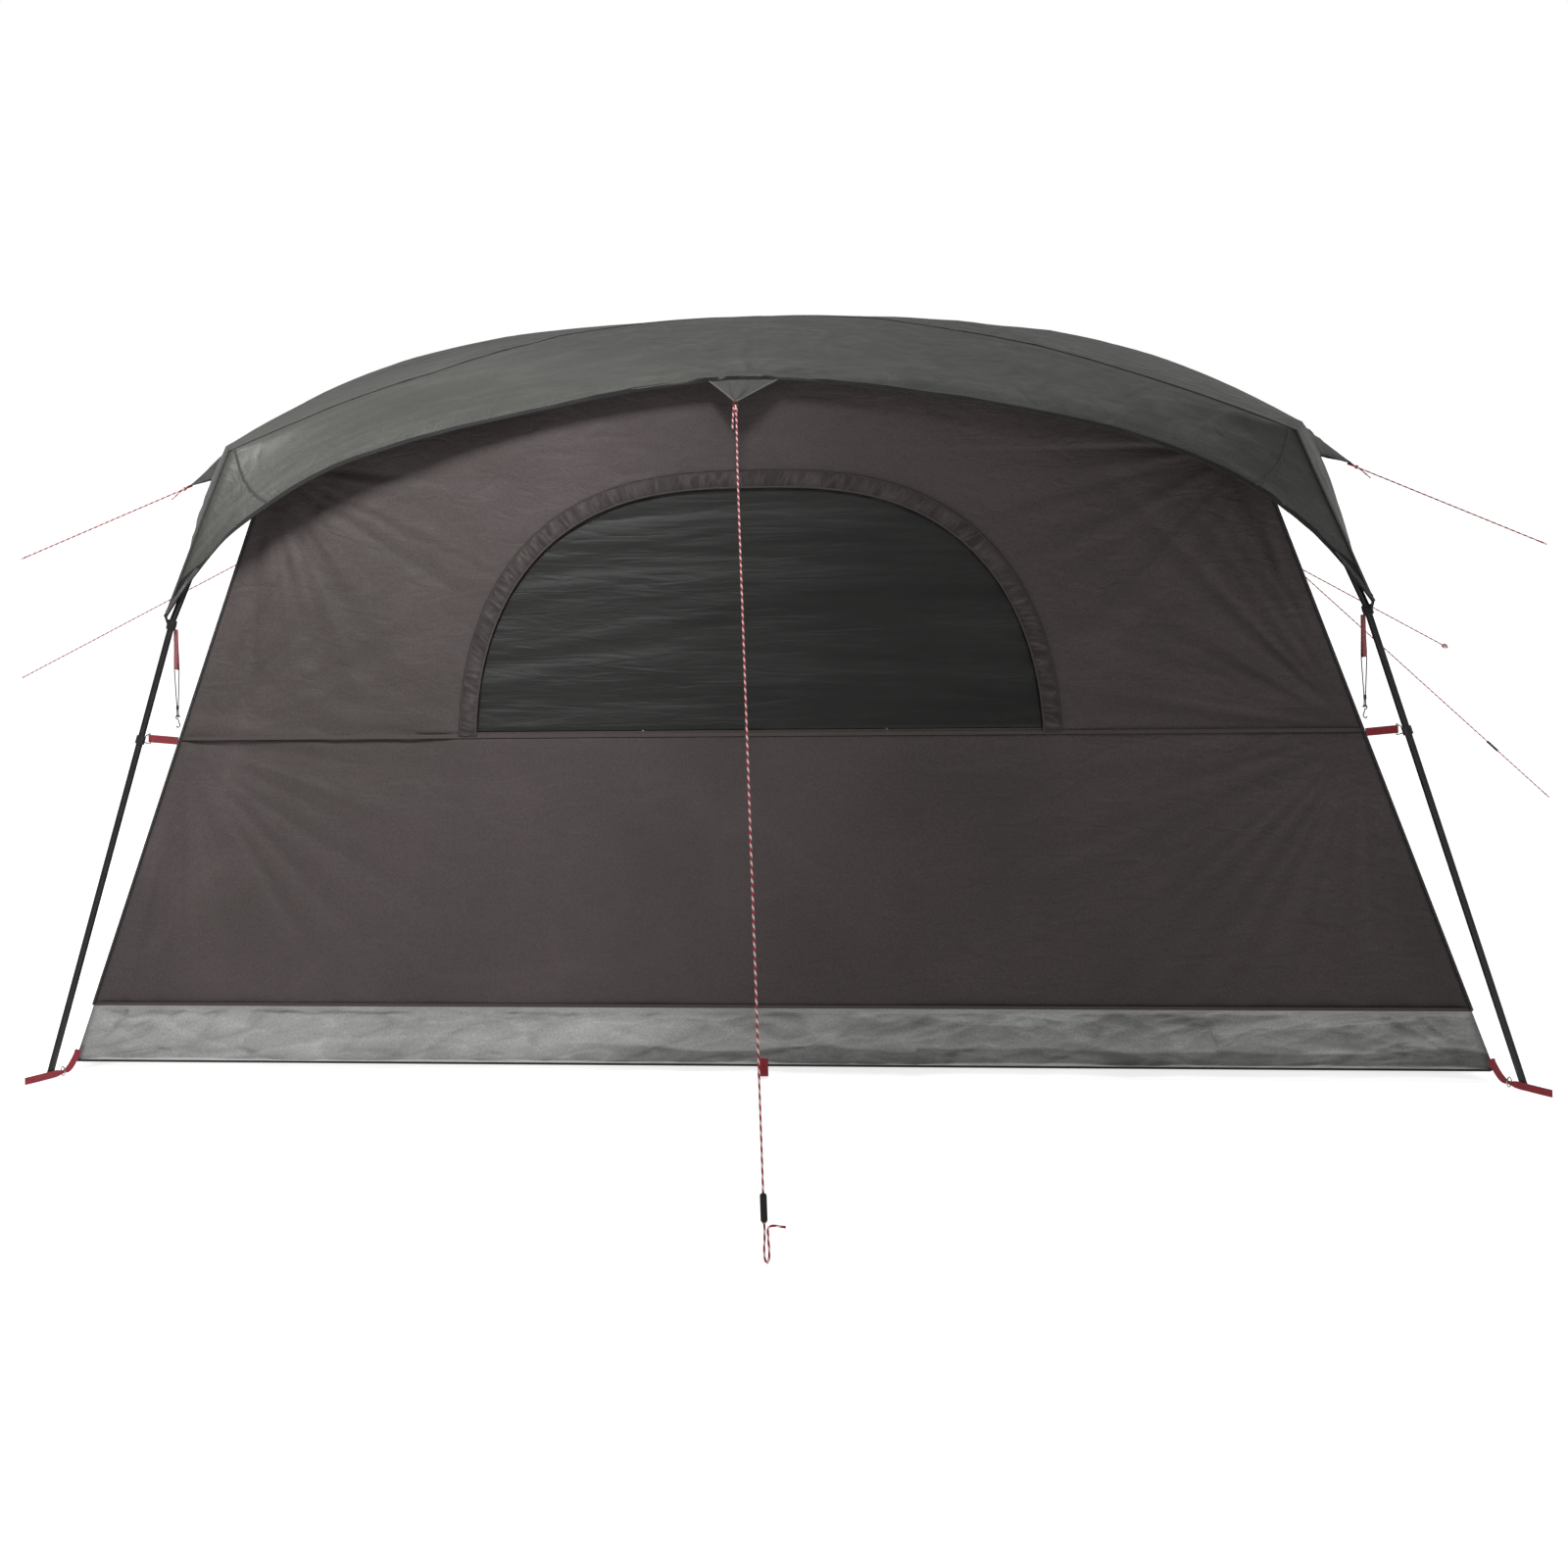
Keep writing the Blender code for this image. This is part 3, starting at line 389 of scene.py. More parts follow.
def lengths(route):
    """Distance along a route at each of its points."""
    steps = np.linalg.norm(np.diff(route, axis=0), axis=1)
    return np.concatenate([[0.0], np.cumsum(steps)])


def unit(vectors):
    return vectors / np.maximum(np.linalg.norm(vectors, axis=-1, keepdims=True), 1e-9)


def even_route(points, spacing):
    """Points at even spacing along a dense route."""
    run = lengths(points)
    spots = np.linspace(0, run[-1], max(2, int(run[-1] / spacing) + 1))
    return np.stack([np.interp(spots, run, points[:, k]) for k in range(3)], -1)


def smooth_route(points, count):
    """A Catmull-Rom curve through points, sampled evenly in its own parameter."""
    spots = np.array([tuple(p) for p in points], float)
    padded = np.vstack([2 * spots[0] - spots[1], spots, 2 * spots[-1] - spots[-2]])
    places = np.linspace(0, len(spots) - 1, count)
    which = np.minimum(places.astype(int), len(spots) - 2)
    t = (places - which)[:, None]
    a, b, c, d = (padded[which + k] for k in range(4))
    return 0.5 * (2 * b + (c - a) * t + (2 * a - 5 * b + 4 * c - d) * t**2 + (3 * b - a - 3 * c + d) * t**3)


def swept(name, route, wide, profile, finish, closed=False, scale=None):
    """Carries a closed profile of (side, up) pairs along a route. side runs along wide, up is across both;
    the map holds turns round the profile and metres along the route. Open ends are closed by a cap row
    drawn in to the middle line."""
    route = np.asarray(route, float)
    ahead = np.gradient(route, axis=0)
    if closed:
        ahead = np.roll(route, -1, 0) - np.roll(route, 1, 0)
    ahead = unit(ahead)
    wide = np.broadcast_to(np.asarray(wide, float), route.shape)
    wide = unit(wide - ahead * (wide * ahead).sum(-1, keepdims=True))
    deep = np.cross(ahead, wide)
    profile = np.asarray(profile, float)
    size = np.ones(len(route)) if scale is None else np.asarray(scale, float)
    rings = (route[:, None] + wide[:, None] * (profile[None, :, :1] * size[:, None, None])
             + deep[:, None] * (profile[None, :, 1:] * size[:, None, None]))
    run = lengths(route)
    if closed:
        run = np.append(run, run[-1] + np.linalg.norm(route[0] - route[-1]))
    else:
        rings = np.concatenate([np.repeat(route[:1, None], len(profile), 1), rings,
                                np.repeat(route[-1:, None], len(profile), 1)])
        run = np.concatenate([run[:1], run, run[-1:]])
    rows, columns = rings.shape[:2]
    quads, r, c = grid_quads(rows, columns, closed, True)
    uv = np.stack([c / columns, run[r]], -1).reshape(-1, 2)
    item = mesh_piece(name, rings.reshape(-1, 3), quads, finish, uv)
    if not closed:
        close_ends(item)
    return item


def close_ends(item):
    """Welds the rows whose points all lie in one place."""
    shell = bmesh.new()
    shell.from_mesh(item.data)
    bmesh.ops.remove_doubles(shell, verts=shell.verts, dist=1e-6)
    bmesh.ops.recalc_face_normals(shell, faces=shell.faces)
    shell.to_mesh(item.data)
    shell.free()


def round_profile(radius, steps=10):
    angle = np.arange(steps) * 2 * math.pi / steps
    return np.stack([np.cos(angle), np.sin(angle)], -1) * radius


def strap_profile(width, thick):
    """A flat strap's section: straight faces and rounded selvedges."""
    half, rise = width / 2, thick / 2
    right = [(half - rise * 0.2, -rise * 0.8), (half, 0.0), (half - rise * 0.2, rise * 0.8)]
    top = [(x * half, rise * (1.0 if i % 2 else 0.82)) for i, x in enumerate(np.linspace(0.9, -0.9, 7))]
    left = [(-half + rise * 0.2, rise * 0.8), (-half, 0.0), (-half + rise * 0.2, -rise * 0.8)]
    bottom = [(-x, -y) for x, y in top]
    return right + top + left + bottom


def trim(item, body="tent"):
    """A piece added to a node's own cloth or webbing: rides a body."""
    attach(item, body)


def dress(item, node, body="tent"):
    """A piece that stands in for a node."""
    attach(item, body)
    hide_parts(node)
    return item


# ---------------------------------------------------------------- cords

def double_line(tip, end, side, tail):
    """Route of a guy line that turns back at its tab, with a short tail and a loop at the far end."""
    tip, end, side = Vector(tip), Vector(end), Vector(side)
    along = (end - tip).normalized()
    spots = [tip + along * tail - side * 0.012 + Vector((0, 0, -0.022)), tip + along * 0.02 - side * 0.0045]
    spots += [tip, tip + along * 0.02 + side * 0.0045]
    spots += [tip + (end - tip) * share for share in (0.15, 0.35, 0.6, 0.85)]
    spots += [end - along * 0.035, end - along * 0.012 + side * 0.007, end]
    spots += [end - along * 0.012 - side * 0.007, end - along * 0.03 - side * 0.0075]
    return smooth_route(spots, 49)


CENTRE_TOP, CENTRE_PEG = Vector((-0.046, -1.694, 2.010)), Vector((0.010, -3.427, 0.0045))


def centre_line():
    """Route of the rear line: a tail, a turn at the tab, a straight run, a loop on the ground and back."""
    line = CENTRE_PEG - CENTRE_TOP
    along = line.normalized()
    spots = [CENTRE_TOP + along * 0.09 + Vector((-0.011, -0.004, 0.0)),
             CENTRE_TOP + along * 0.03 + Vector((-0.0075, 0.0, 0.0)), CENTRE_TOP + Vector((-0.004, 0, 0)),
             CENTRE_TOP + along * 0.02 + Vector((0.0025, 0, 0))]
    spots += [CENTRE_TOP + line * share for share in (0.12, 0.3, 0.5, 0.7, 0.85, 0.952, 0.975)]
    spots += [CENTRE_PEG - along * 0.02 + Vector((-0.0025, 0.0, 0.0)), CENTRE_PEG + Vector((0.0035, 0.0, 0.0))]
    near_runner = CENTRE_TOP + line * 0.9695 + Vector((0.0090, 0.0, 0.0))
    spots += [CENTRE_PEG - along * 0.02 + Vector((0.0095, 0.0, 0.0)),
              CENTRE_TOP + line * 0.980 + Vector((0.0085, 0.0, 0.0)), near_runner]
    spots += [near_runner + Vector((0.012, 0.0, 0.006)), near_runner + Vector((0.042, -0.003, 0.004))]
    return smooth_route(spots, 64)


GUYS = {
    "guy_line_left": ((-2.362, 0, 1.716), (-3.085, 0, 1.428), (0, 1, 0), 0.07),
    "guy_line_right": ((2.362, 0, 1.716), (3.095, 0, 1.392), (0, 1, 0), 0.07),
    "guy_line_front_left": ((-1.862, 1.862, 1.645), (-3.795, 1.80, 0.681), (0, 1, 0), 0.05),
    "guy_line_front_right": ((1.862, 1.862, 1.585), (3.318, 1.85, 0.747), (0, 1, 0), 0.05),
    "guy_line_front_right_steep": ((1.80, 1.68, 1.895), (3.79, 1.90, 0.012), (0, 1, 0), 0.05),
}


def rope_normal(tip, end, side):
    return np.cross(np.array(end, float) - np.array(tip, float), np.array(side, float))


def knot(name, at, axis, rope_radius, turns=2.5, height=0.013):
    """Rope wound round itself: a helix of turns about an axis, drawn in at both ends."""
    axis = unit(np.array(axis, float))
    across = unit(np.cross(axis, (0.3, 0.5, 0.81)))
    other = np.cross(axis, across)
    t = np.linspace(0, 1, 60)
    angle = 2 * math.pi * turns * t
    radius = rope_radius * (1.1 + 0.9 * np.sin(math.pi * t) ** 0.5)
    route = (np.array(at, float) + axis * ((t - 0.5) * height)[:, None]
             + (across * np.cos(angle)[:, None] + other * np.sin(angle)[:, None]) * radius[:, None])
    item = swept(name, route, axis, round_profile(rope_radius * 0.85, 8), ROPE)
    trim(item)
    return item


def make_cords():
    centre = centre_line()
    routes = {"guy_line_rear": (centre, rope_normal(CENTRE_TOP, CENTRE_PEG, (1, 0, 0)), CENTRE_TOP,
                                CENTRE_PEG - CENTRE_TOP)}
    for name, (tip, end, side, tail) in GUYS.items():
        routes[name] = (double_line(tip, end, side, tail), rope_normal(tip, end, side), tip,
                        Vector(end) - Vector(tip))
    for name, (route, normal, tip, line) in routes.items():
        dense = even_route(route, 0.006)
        turn = int(np.argmin(np.linalg.norm(dense[:60] - np.array(tip), axis=1)))
        fine = dense[turn:]
        braid = swept("braided_" + name, fine, normal, round_profile(ROPE_RADIUS, 10), ROPE)
        dress(braid, name)
        tail = swept("tail_" + name, dense[:turn + 2], normal, round_profile(ROPE_RADIUS * 0.97, 10), ROPE)
        trim(tail)
        ahead = np.array(line.normalized())
        tie = knot("knot_" + name, np.array(tip) + ahead * 0.016, line, ROPE_RADIUS)
        if name == "guy_line_front_right":
            ball = knot("end_knot_" + name, np.array(GUYS[name][1]) - ahead * 0.02, line,
                        0.0042, 3.5, 0.02)
        end = "knot" if name != "guy_line_rear" else "bare"


make_cords()


# ---------------------------------------------------------------- fly sheet

def fly_edges(side, s):
    """One fly side at s from -1 to 1: its shoulder line, the dome's two drop factors, its hem and how far
    the tab in its middle pulls the hem out and down."""
    size = np.abs(s)
    if side in ("rear", "front"):
        shoulder = (FLY_SHOULDER * s, 1.40 + (FLY_SHOULDER - 1.40) * size**3)
        dome = (0.203 + 0.288 * size**2, -0.026 * size**2)
        tab_half, _, tab_out, tab_drop = REAR_TAB if side == "rear" else FRONT_TAB
        hem_z = 2.097 - 0.37 * size**1.5 - 0.352 * size**7
        hem = (FLY_CORNER * s, 1.60 + (FLY_CORNER - 1.60) * size**2, hem_z)
    else:
        shoulder = (FLY_SHOULDER * s, 2.05 - (2.05 - FLY_SHOULDER) * size**1.6)
        dome = (0.1748 + 0.3162 * size**1.3, 0.265 - 0.291 * size**1.3)
        tab_half, _, tab_out, tab_drop = SIDE_TAB
        hem_z = 1.375 + 0.455 * (1 - size**1.1)
        hem = (FLY_CORNER * s, FLY_CORNER + 0.30 * (1 - size) ** 1.6, hem_z)
    pull = np.maximum(0.0, 1 - size / tab_half)
    return shoulder, dome, hem, (tab_out * pull, -tab_drop * pull)


def fly_turn(side, along, out, height):
    """Places one side's (along, out, height) round the tent."""
    plan = {"rear": (along, -out), "right": (out, along), "front": (-along, out), "left": (-out, -along)}[side]
    return np.stack([*plan, height], -1)


# First seed of each side's folds
SEEDS = {"rear": 11, "right": 23, "front": 37, "left": 51}


def fly_ripple(side, s, r, spot):
    """How far the cloth stands off its smooth form: folds that fan from the tab and the two corners,
    slack waves over the skirt, and small creases all over."""
    centre = SEEDS[side]
    tab = 0.016 * fan(s * 1.8, (2 - r) * 0.35, (0.0, 0.0), centre, 8.0, 0.42)
    left = 0.012 * fan(s * 1.8, (2 - r) * 0.35, (-1.8, 0.0), centre + 1, 6.0, 0.55)
    right = 0.012 * fan(s * 1.8, (2 - r) * 0.35, (1.8, 0.0), centre + 2, 6.0, 0.55)
    x, y = spot[..., 0], spot[..., 1]
    small = 0.014 * (rumple(x * 1.5 + 5, y * 1.5 + 3, 71) - 0.5)
    skirt = 0.014 * np.clip(r - 0.8, 0, 1) * (rumple(s * 5 + 2, r * 1.4, centre + 9) - 0.5)
    hold = np.clip((1 - np.abs(s)) / 0.1, 0, 1)
    hold = hold * hold * (3 - 2 * hold)
    return (tab + left + right + skirt) * hold * np.clip(r * 1.5, 0, 1) + small * np.clip(r * 4, 0, 1)


def fly_point(side, s, r, lift=0.0, tabs=1.0):
    """Point on the fly: r from 0 at the peak to 1 on the shoulder line and 2 at the hem. Inside the shoulder
    height = PEAK - A share^2 - B share^4; outside it is a straight drop with a sine bulge."""
    s, r = np.broadcast_arrays(np.asarray(s, float), np.asarray(r, float))
    shoulder, dome, hem, tab = fly_edges(side, s)
    share = np.clip(r, 0, 1)
    top = [shoulder[0] * share, shoulder[1] * share, PEAK - dome[0] * share**2 - dome[1] * share**4]
    down = np.clip(r - 1, 0, 1)
    bulge = 0.03 * np.sin(math.pi * down) * (1 - np.abs(s) ** 6)
    edge_height = PEAK - dome[0] - dome[1]
    low = [shoulder[0] + (hem[0] - shoulder[0]) * down,
           shoulder[1] + (hem[1] - shoulder[1]) * down + bulge + tab[0] * down**4 * tabs,
           edge_height + (hem[2] - edge_height) * down + 0.4 * bulge + tab[1] * down**4 * tabs]
    picked = [np.where(r > 1, b, a) for a, b in zip(top, low)]
    spot = fly_turn(side, *picked)
    steep = np.clip(r - 0.9, 0, 1) * 1.6 + 0.22
    outward = unit(np.stack([spot[..., 0] * steep * 0.5, spot[..., 1] * steep * 0.5, np.ones_like(s)], -1))
    return spot + outward * (fly_ripple(side, s, r, spot) + lift)[..., None]


SIDES = ("rear", "right", "front", "left")
# The side tabs are cut in one with the canopy; the rear and front tabs are sewn on below the hem
TAB_IN_CANOPY = {"rear": 0.0, "front": 0.0, "left": 1.0, "right": 1.0}


def fly_columns():
    """Places of the columns on one side: closer together near the tab in its middle."""
    t = np.linspace(-1, 1, 121)
    return np.sign(t) * (0.4 * np.abs(t) + 0.6 * np.abs(t) ** 1.8)


def fly_painted_fold_highlight(side, s, r):
    """Painted highlight along the pulled folds of one side: thin fans from the middle of the hem and both
    corners.
    """
    centre = SEEDS[side]
    x, y = s * 1.8, (2 - r) * 0.35
    total = 0.9 * fan(x, y, (0.0, 0.0), centre + 3, 9.0, 0.5) ** 2
    for index, at in enumerate(((-1.8, 0.0), (1.8, 0.0))):
        total = total + 0.8 * fan(x, y, at, centre + 4 + index, 12.0, 0.7) ** 2
    total = total + 0.5 * creases(s * 7 + r * 2, r * 9 + s * 3, centre + 6, 9.0)
    return 0.6 * total * np.clip((1 - np.abs(s)) / 0.03, 0, 1)


def make_fly():
    s = fly_columns()[1:]
    r = np.concatenate([np.linspace(0.012, 1, 34), 1 + np.linspace(0, 1, 23)[1:]])
    parts = [fly_point(side, s[None, :], r[:, None], 0.0, TAB_IN_CANOPY[side])
             for side in SIDES]
    points = np.concatenate(parts, 1)
    # Painted highlight on the fly's folds, carried in the crease attribute
    pale = np.concatenate([fly_painted_fold_highlight(side, s[None, :], r[:, None]) for side in SIDES], 1)
    crown = np.repeat(np.array([[[0.0, 0.0, PEAK]]]), points.shape[1], 1)
    points = np.concatenate([crown, points], 0)
    pale = np.concatenate([pale[:1] * 0, pale], 0)
    item = sheet_piece("fly_canopy", points, FLY, wrap=True, back=FLY_BACK, flip=True, crease=pale)
    close_ends(item)
    dress(item, "fly_sheet")


def hem_binding(side):
    """Binding folded over the hem: a flat section 16 mm deep carried along the edge from corner to corner."""
    s = np.linspace(-1, 1, 260)
    edge = fly_point(side, s, 2.0, 0.0, TAB_IN_CANOPY[side])
    above = fly_point(side, s, 1.93, 0.0, TAB_IN_CANOPY[side])
    wide = unit(above - edge)
    route = edge + wide * 0.005
    item = swept("hem_binding_" + side, route, wide, strap_profile(0.016, 0.0036), BINDING)
    trim(item)


def sewn_tab(side):
    """Triangular tab below the hem: rows shrink from the hem to the tip, with folds that fan from the tip."""
    tab_half, tab_along, tab_out, tab_drop = REAR_TAB if side == "rear" else FRONT_TAB
    t = np.linspace(0, 1, 26)[:, None]
    s = np.linspace(-1, 1, 49)[None, :] * tab_half
    shift = 0.4 * tab_along / FLY_CORNER
    root = fly_point(side, shift + 1.08 * s * (1 - t), 2.0 + 0 * t, 0.0, 0.0)
    middle = fly_point(side, np.full((1, 1), shift), np.full((1, 1), 2.0), 0.0, 0.0)
    away = 1.0 if side == "front" else -1.0
    tip = fly_point(side, np.zeros((1, 1)), np.full((1, 1), 2.0), 0.0, 0.0)
    tip = tip + np.array([tab_along, away * tab_out, -tab_drop])
    points = root + (tip - middle) * t[..., None]
    folds = creases(s / tab_half * 3.5 + 9, t * 0.6 + 2, 91, 1.4) * np.sin(math.pi * np.clip(t, 0, 1)) ** 0.5
    points = points + np.array([0.0, away * 0.0045, 0.003]) * folds[..., None]
    item = sheet_piece("tab_" + side, points, FLY_TAB, thick=0.0015, flip=(side == "front"))
    close_ends(item)
    trim(item)
    for sign, hand in ((-1, "left"), (1, "right")):
        edge = points[:, 0] if sign < 0 else points[:, -1]
        inner = points[:, 4] if sign < 0 else points[:, -5]
        route = even_route(edge[:-1] + unit(inner - edge)[:-1] * 0.003, 0.004)
        item = swept(f"tab_edge_{side}_{hand}", route, (1.0, 0.0, 0.0), strap_profile(0.007, 0.0028), TAB_EDGE)
        trim(item)


def fly_seam(name, side, s, r):
    """A felled seam: a flat strip laid on the fly along a path of (s, r)."""
    route = fly_point(side, s, r, 0.0012)
    higher = fly_point(side, s, r, 0.02)
    item = swept(name, route, np.cross(np.gradient(route, axis=0), higher - route),
                 strap_profile(0.011, 0.0022), SEAM)
    trim(item)


def seam_finish(name, light, dark, thread):
    """Felled seam in fly cloth: rows of lock stitches 5 mm long, read from the strip's own map."""
    made, tree, shader = blank(name, 0.55, 0.0, 0.3, 0.05)
    lane = put(tree, "UVMap", {}, {}).outputs[0]
    across, along = put(tree, "SeparateXYZ", {}, {0: lane}).outputs[:2]
    dash = maths(tree, "LESS_THAN", maths(tree, "FRACT", maths(tree, "MULTIPLY", along, 1 / 0.008)), 0.6)
    row = maths(tree, "LESS_THAN", maths(tree, "FRACT", maths(tree, "MULTIPLY", across, 10.0)), 0.22)
    stitch = maths(tree, "MULTIPLY", dash, row)
    tone = mixed(tree, noise(tree, lane, 90.0, 3.0), linear(dark), linear(light))
    join(tree, shader, Base_Color=mixed(tree, stitch, tone, linear(thread)),
         Normal=bumped(tree, 0.6, 0.0008, stitch))
    return made


# Felled seams: the fly's cloth and the wall's cloth, each with thread a shade paler
SEAM = seam_finish("grey_felled_seam", "#41413e", "#373735", "#54544f")
# Doubled fly cloth at the tab, a shade paler than the fly as a painted highlight where it is pulled tight, and
# its folded edge, paler still as a painted highlight
FLY_TAB = cloth_finish("doubled_fly_taffeta", "#4a4a47", "#3f3f3d", 0.5, 0.3, 0.05, 0.4)
TAB_EDGE = seam_finish("folded_edge_painted_highlight", "#62625d", "#54544f", "#75756f")
WALL_SEAM = seam_finish("brown_felled_seam", "#433a38", "#383030", "#5a504d")


def make_fly_trim():
    for side in SIDES:
        hem_binding(side)
        fly_seam("ridge_seam_" + side, side, np.full(180, 1.0), np.linspace(0.03, 1.96, 180))
        if side in ("rear", "front"):
            for sign, hand in ((-1, "left"), (1, "right")):
                t = np.linspace(0, 1, 60)
                fly_seam(f"gusset_seam_{side}_{hand}", side, sign * (0.99 - 0.16 * t), 1.0 + 0.97 * t)


make_fly()
make_fly_trim()
for tab_side in ("rear", "front"):
    sewn_tab(tab_side)


# ---------------------------------------------------------------- inner tent

def wall_reach(height):
    return BASE_HALF - WALL_LEAN * height


def wall_top(across):
    return WALL_CROWN - WALL_CROWN_FALL * (across / WALL_TOP_HALF) ** 2


LEAN_LENGTH = math.hypot(1.0, WALL_LEAN)
NORMAL_OUT, NORMAL_UP = 1.0 / LEAN_LENGTH, WALL_LEAN / LEAN_LENGTH


def wall_point(side, u, v, inward=0.0):
    """Point on a leaning wall: u across, v height, inward below its outer face."""
    out = wall_reach(v) - inward * NORMAL_OUT
    height = v - inward * NORMAL_UP
    u, out, height = np.broadcast_arrays(u, out, height)
    return {"rear": np.stack([u, -out, height], -1), "front": np.stack([u, out, height], -1),
            "left": np.stack([-out, u, height], -1), "right": np.stack([out, u, height], -1)}[side]


# Where the walls are pulled: the strap ends at seam height and the top corners
PULLS = ((-wall_reach(SEAM_HEIGHT), SEAM_HEIGHT), (wall_reach(SEAM_HEIGHT), SEAM_HEIGHT),
         (-PULL_CORNER[0], PULL_CORNER[1]), PULL_CORNER)


def wall_depth(u, v, seed):
    """Slack of a wall, inwards: folds pulled from the strap ends at seam height and from the top corners,
    faint level folds along the seam, and small creases all over. Beside the flap's hinge it stays flat."""
    total = 0.0
    for index, at in enumerate(PULLS):
        low = index < 2
        total = total + (0.014 if low else 0.012) * fan(u, v, at, seed + index, 9.0 if low else 7.0, 0.9)
    near_seam = np.exp(-(((v - SEAM_HEIGHT) / 0.10) ** 2))
    total = total + 0.006 * near_seam * creases(u * 2.2 + 7, v * 16, seed + 4)
    total = total + 0.010 * rumple(u * 1.5 + 3 + v, v * 2.3 + 11, seed + 5)
    edge = np.clip((wall_reach(v) - np.abs(u)) / 0.05, 0, 1)
    beside = np.clip((np.abs(u) - 0.95) / 0.15, 0, 1)
    sewn = np.clip(np.abs(v - SEAM_HEIGHT) / 0.12, 0.12, 1)
    return 0.0006 + total * edge * (sewn + (1 - sewn) * beside)


def wall_painted_fold_highlight(u, v, seed):
    """Painted highlight along thin pulled folds: fine fans from the strap ends and corners, and scattered
    creases.
    """
    total = 0.0
    for index, at in enumerate(PULLS):
        total = total + fan(u, v, at, seed + 20 + index, 16.0, 0.8) ** 3
    bend = value_noise(u * 1.3, v * 1.3, seed + 30)
    short = value_noise(u * 1.6 + 8, v * 1.6, seed + 33) ** 3
    total = total + 0.9 * short * creases(u * 3 + v * 2 + bend, v * 4 - u, seed + 31, 12.0)
    total = total + 0.7 * short * creases(u * 6 - v * 3 + bend, v * 7 + u * 2, seed + 32, 10.0)
    return np.clip(0.30 * total, 0, 1)


def hole_ring(side, hole, outer, rows, seed):
    """Wall cloth between an opening and the wall's outline: straight blends from one closed line to the other.
    The cloth lies flat at the opening and takes its slack over a fifth of the way out."""
    t = (np.linspace(0, 1, rows) ** 1.2)[:, None]
    u = hole[None, :, 0] * (1 - t) + outer[None, :, 0] * t
    v = hole[None, :, 1] * (1 - t) + outer[None, :, 1] * t
    slack = (wall_depth(u, v, seed) - 0.0006) * np.clip(t * 5, 0.12, 1)
    # Also returns the painted highlight on the cloth's folds
    return wall_point(side, u, v, 0.0006 + slack), wall_painted_fold_highlight(u, v, seed)


def outline_run(corners, counts):
    """A closed line through corners, with counts[i] points on side i. A side may be a function of 0 to 1."""
    parts = []
    for i, count in enumerate(counts):
        t = np.linspace(0, 1, count, endpoint=False)[:, None]
        start, end = np.array(corners[i]), np.array(corners[(i + 1) % len(corners)])
        parts.append(start * (1 - t) + end * t)
    return np.concatenate(parts)


def wall_outline(low, low_count, side_count, top_count):
    """Bottom left to right, up the right edge, back over the curved top, and down the left edge."""
    bottom, top = wall_reach(low), WALL_TOP_HALF
    crown = wall_top(top)
    line = outline_run([(-bottom, low), (bottom, low), (top, crown), (-top, crown)],
                       [low_count, side_count, top_count, side_count])
    on_top = slice(low_count + side_count, low_count + side_count + top_count)
    line[on_top, 1] = wall_top(line[on_top, 0])
    return line


def arch_line(count, grow=0.0, lift=0.0):
    """The window arch from right foot to left foot: a superellipse of powers 2.8 across and 2.2 up."""
    angle = np.linspace(0, math.pi, count)
    cosine, sine = np.cos(angle), np.abs(np.sin(angle))
    across = np.sign(cosine) * np.abs(cosine) ** (2 / 2.8) * (WINDOW_HALF + grow)
    rise = sine ** (2 / 2.2) * (WINDOW_RISE + grow - lift)
    return np.stack([across, SEAM_HEIGHT + 0.004 + lift + rise], -1)


def even_line(line, count, endpoint=True):
    run = lengths(line)
    spots = np.linspace(0, run[-1], count, endpoint=endpoint)
    return np.stack([np.interp(spots, run, line[:, k]) for k in range(line.shape[1])], -1)


# The side walls stop short of the corners, where the binding joins them to the rear and front walls
EDGE_GAP = 0.0045


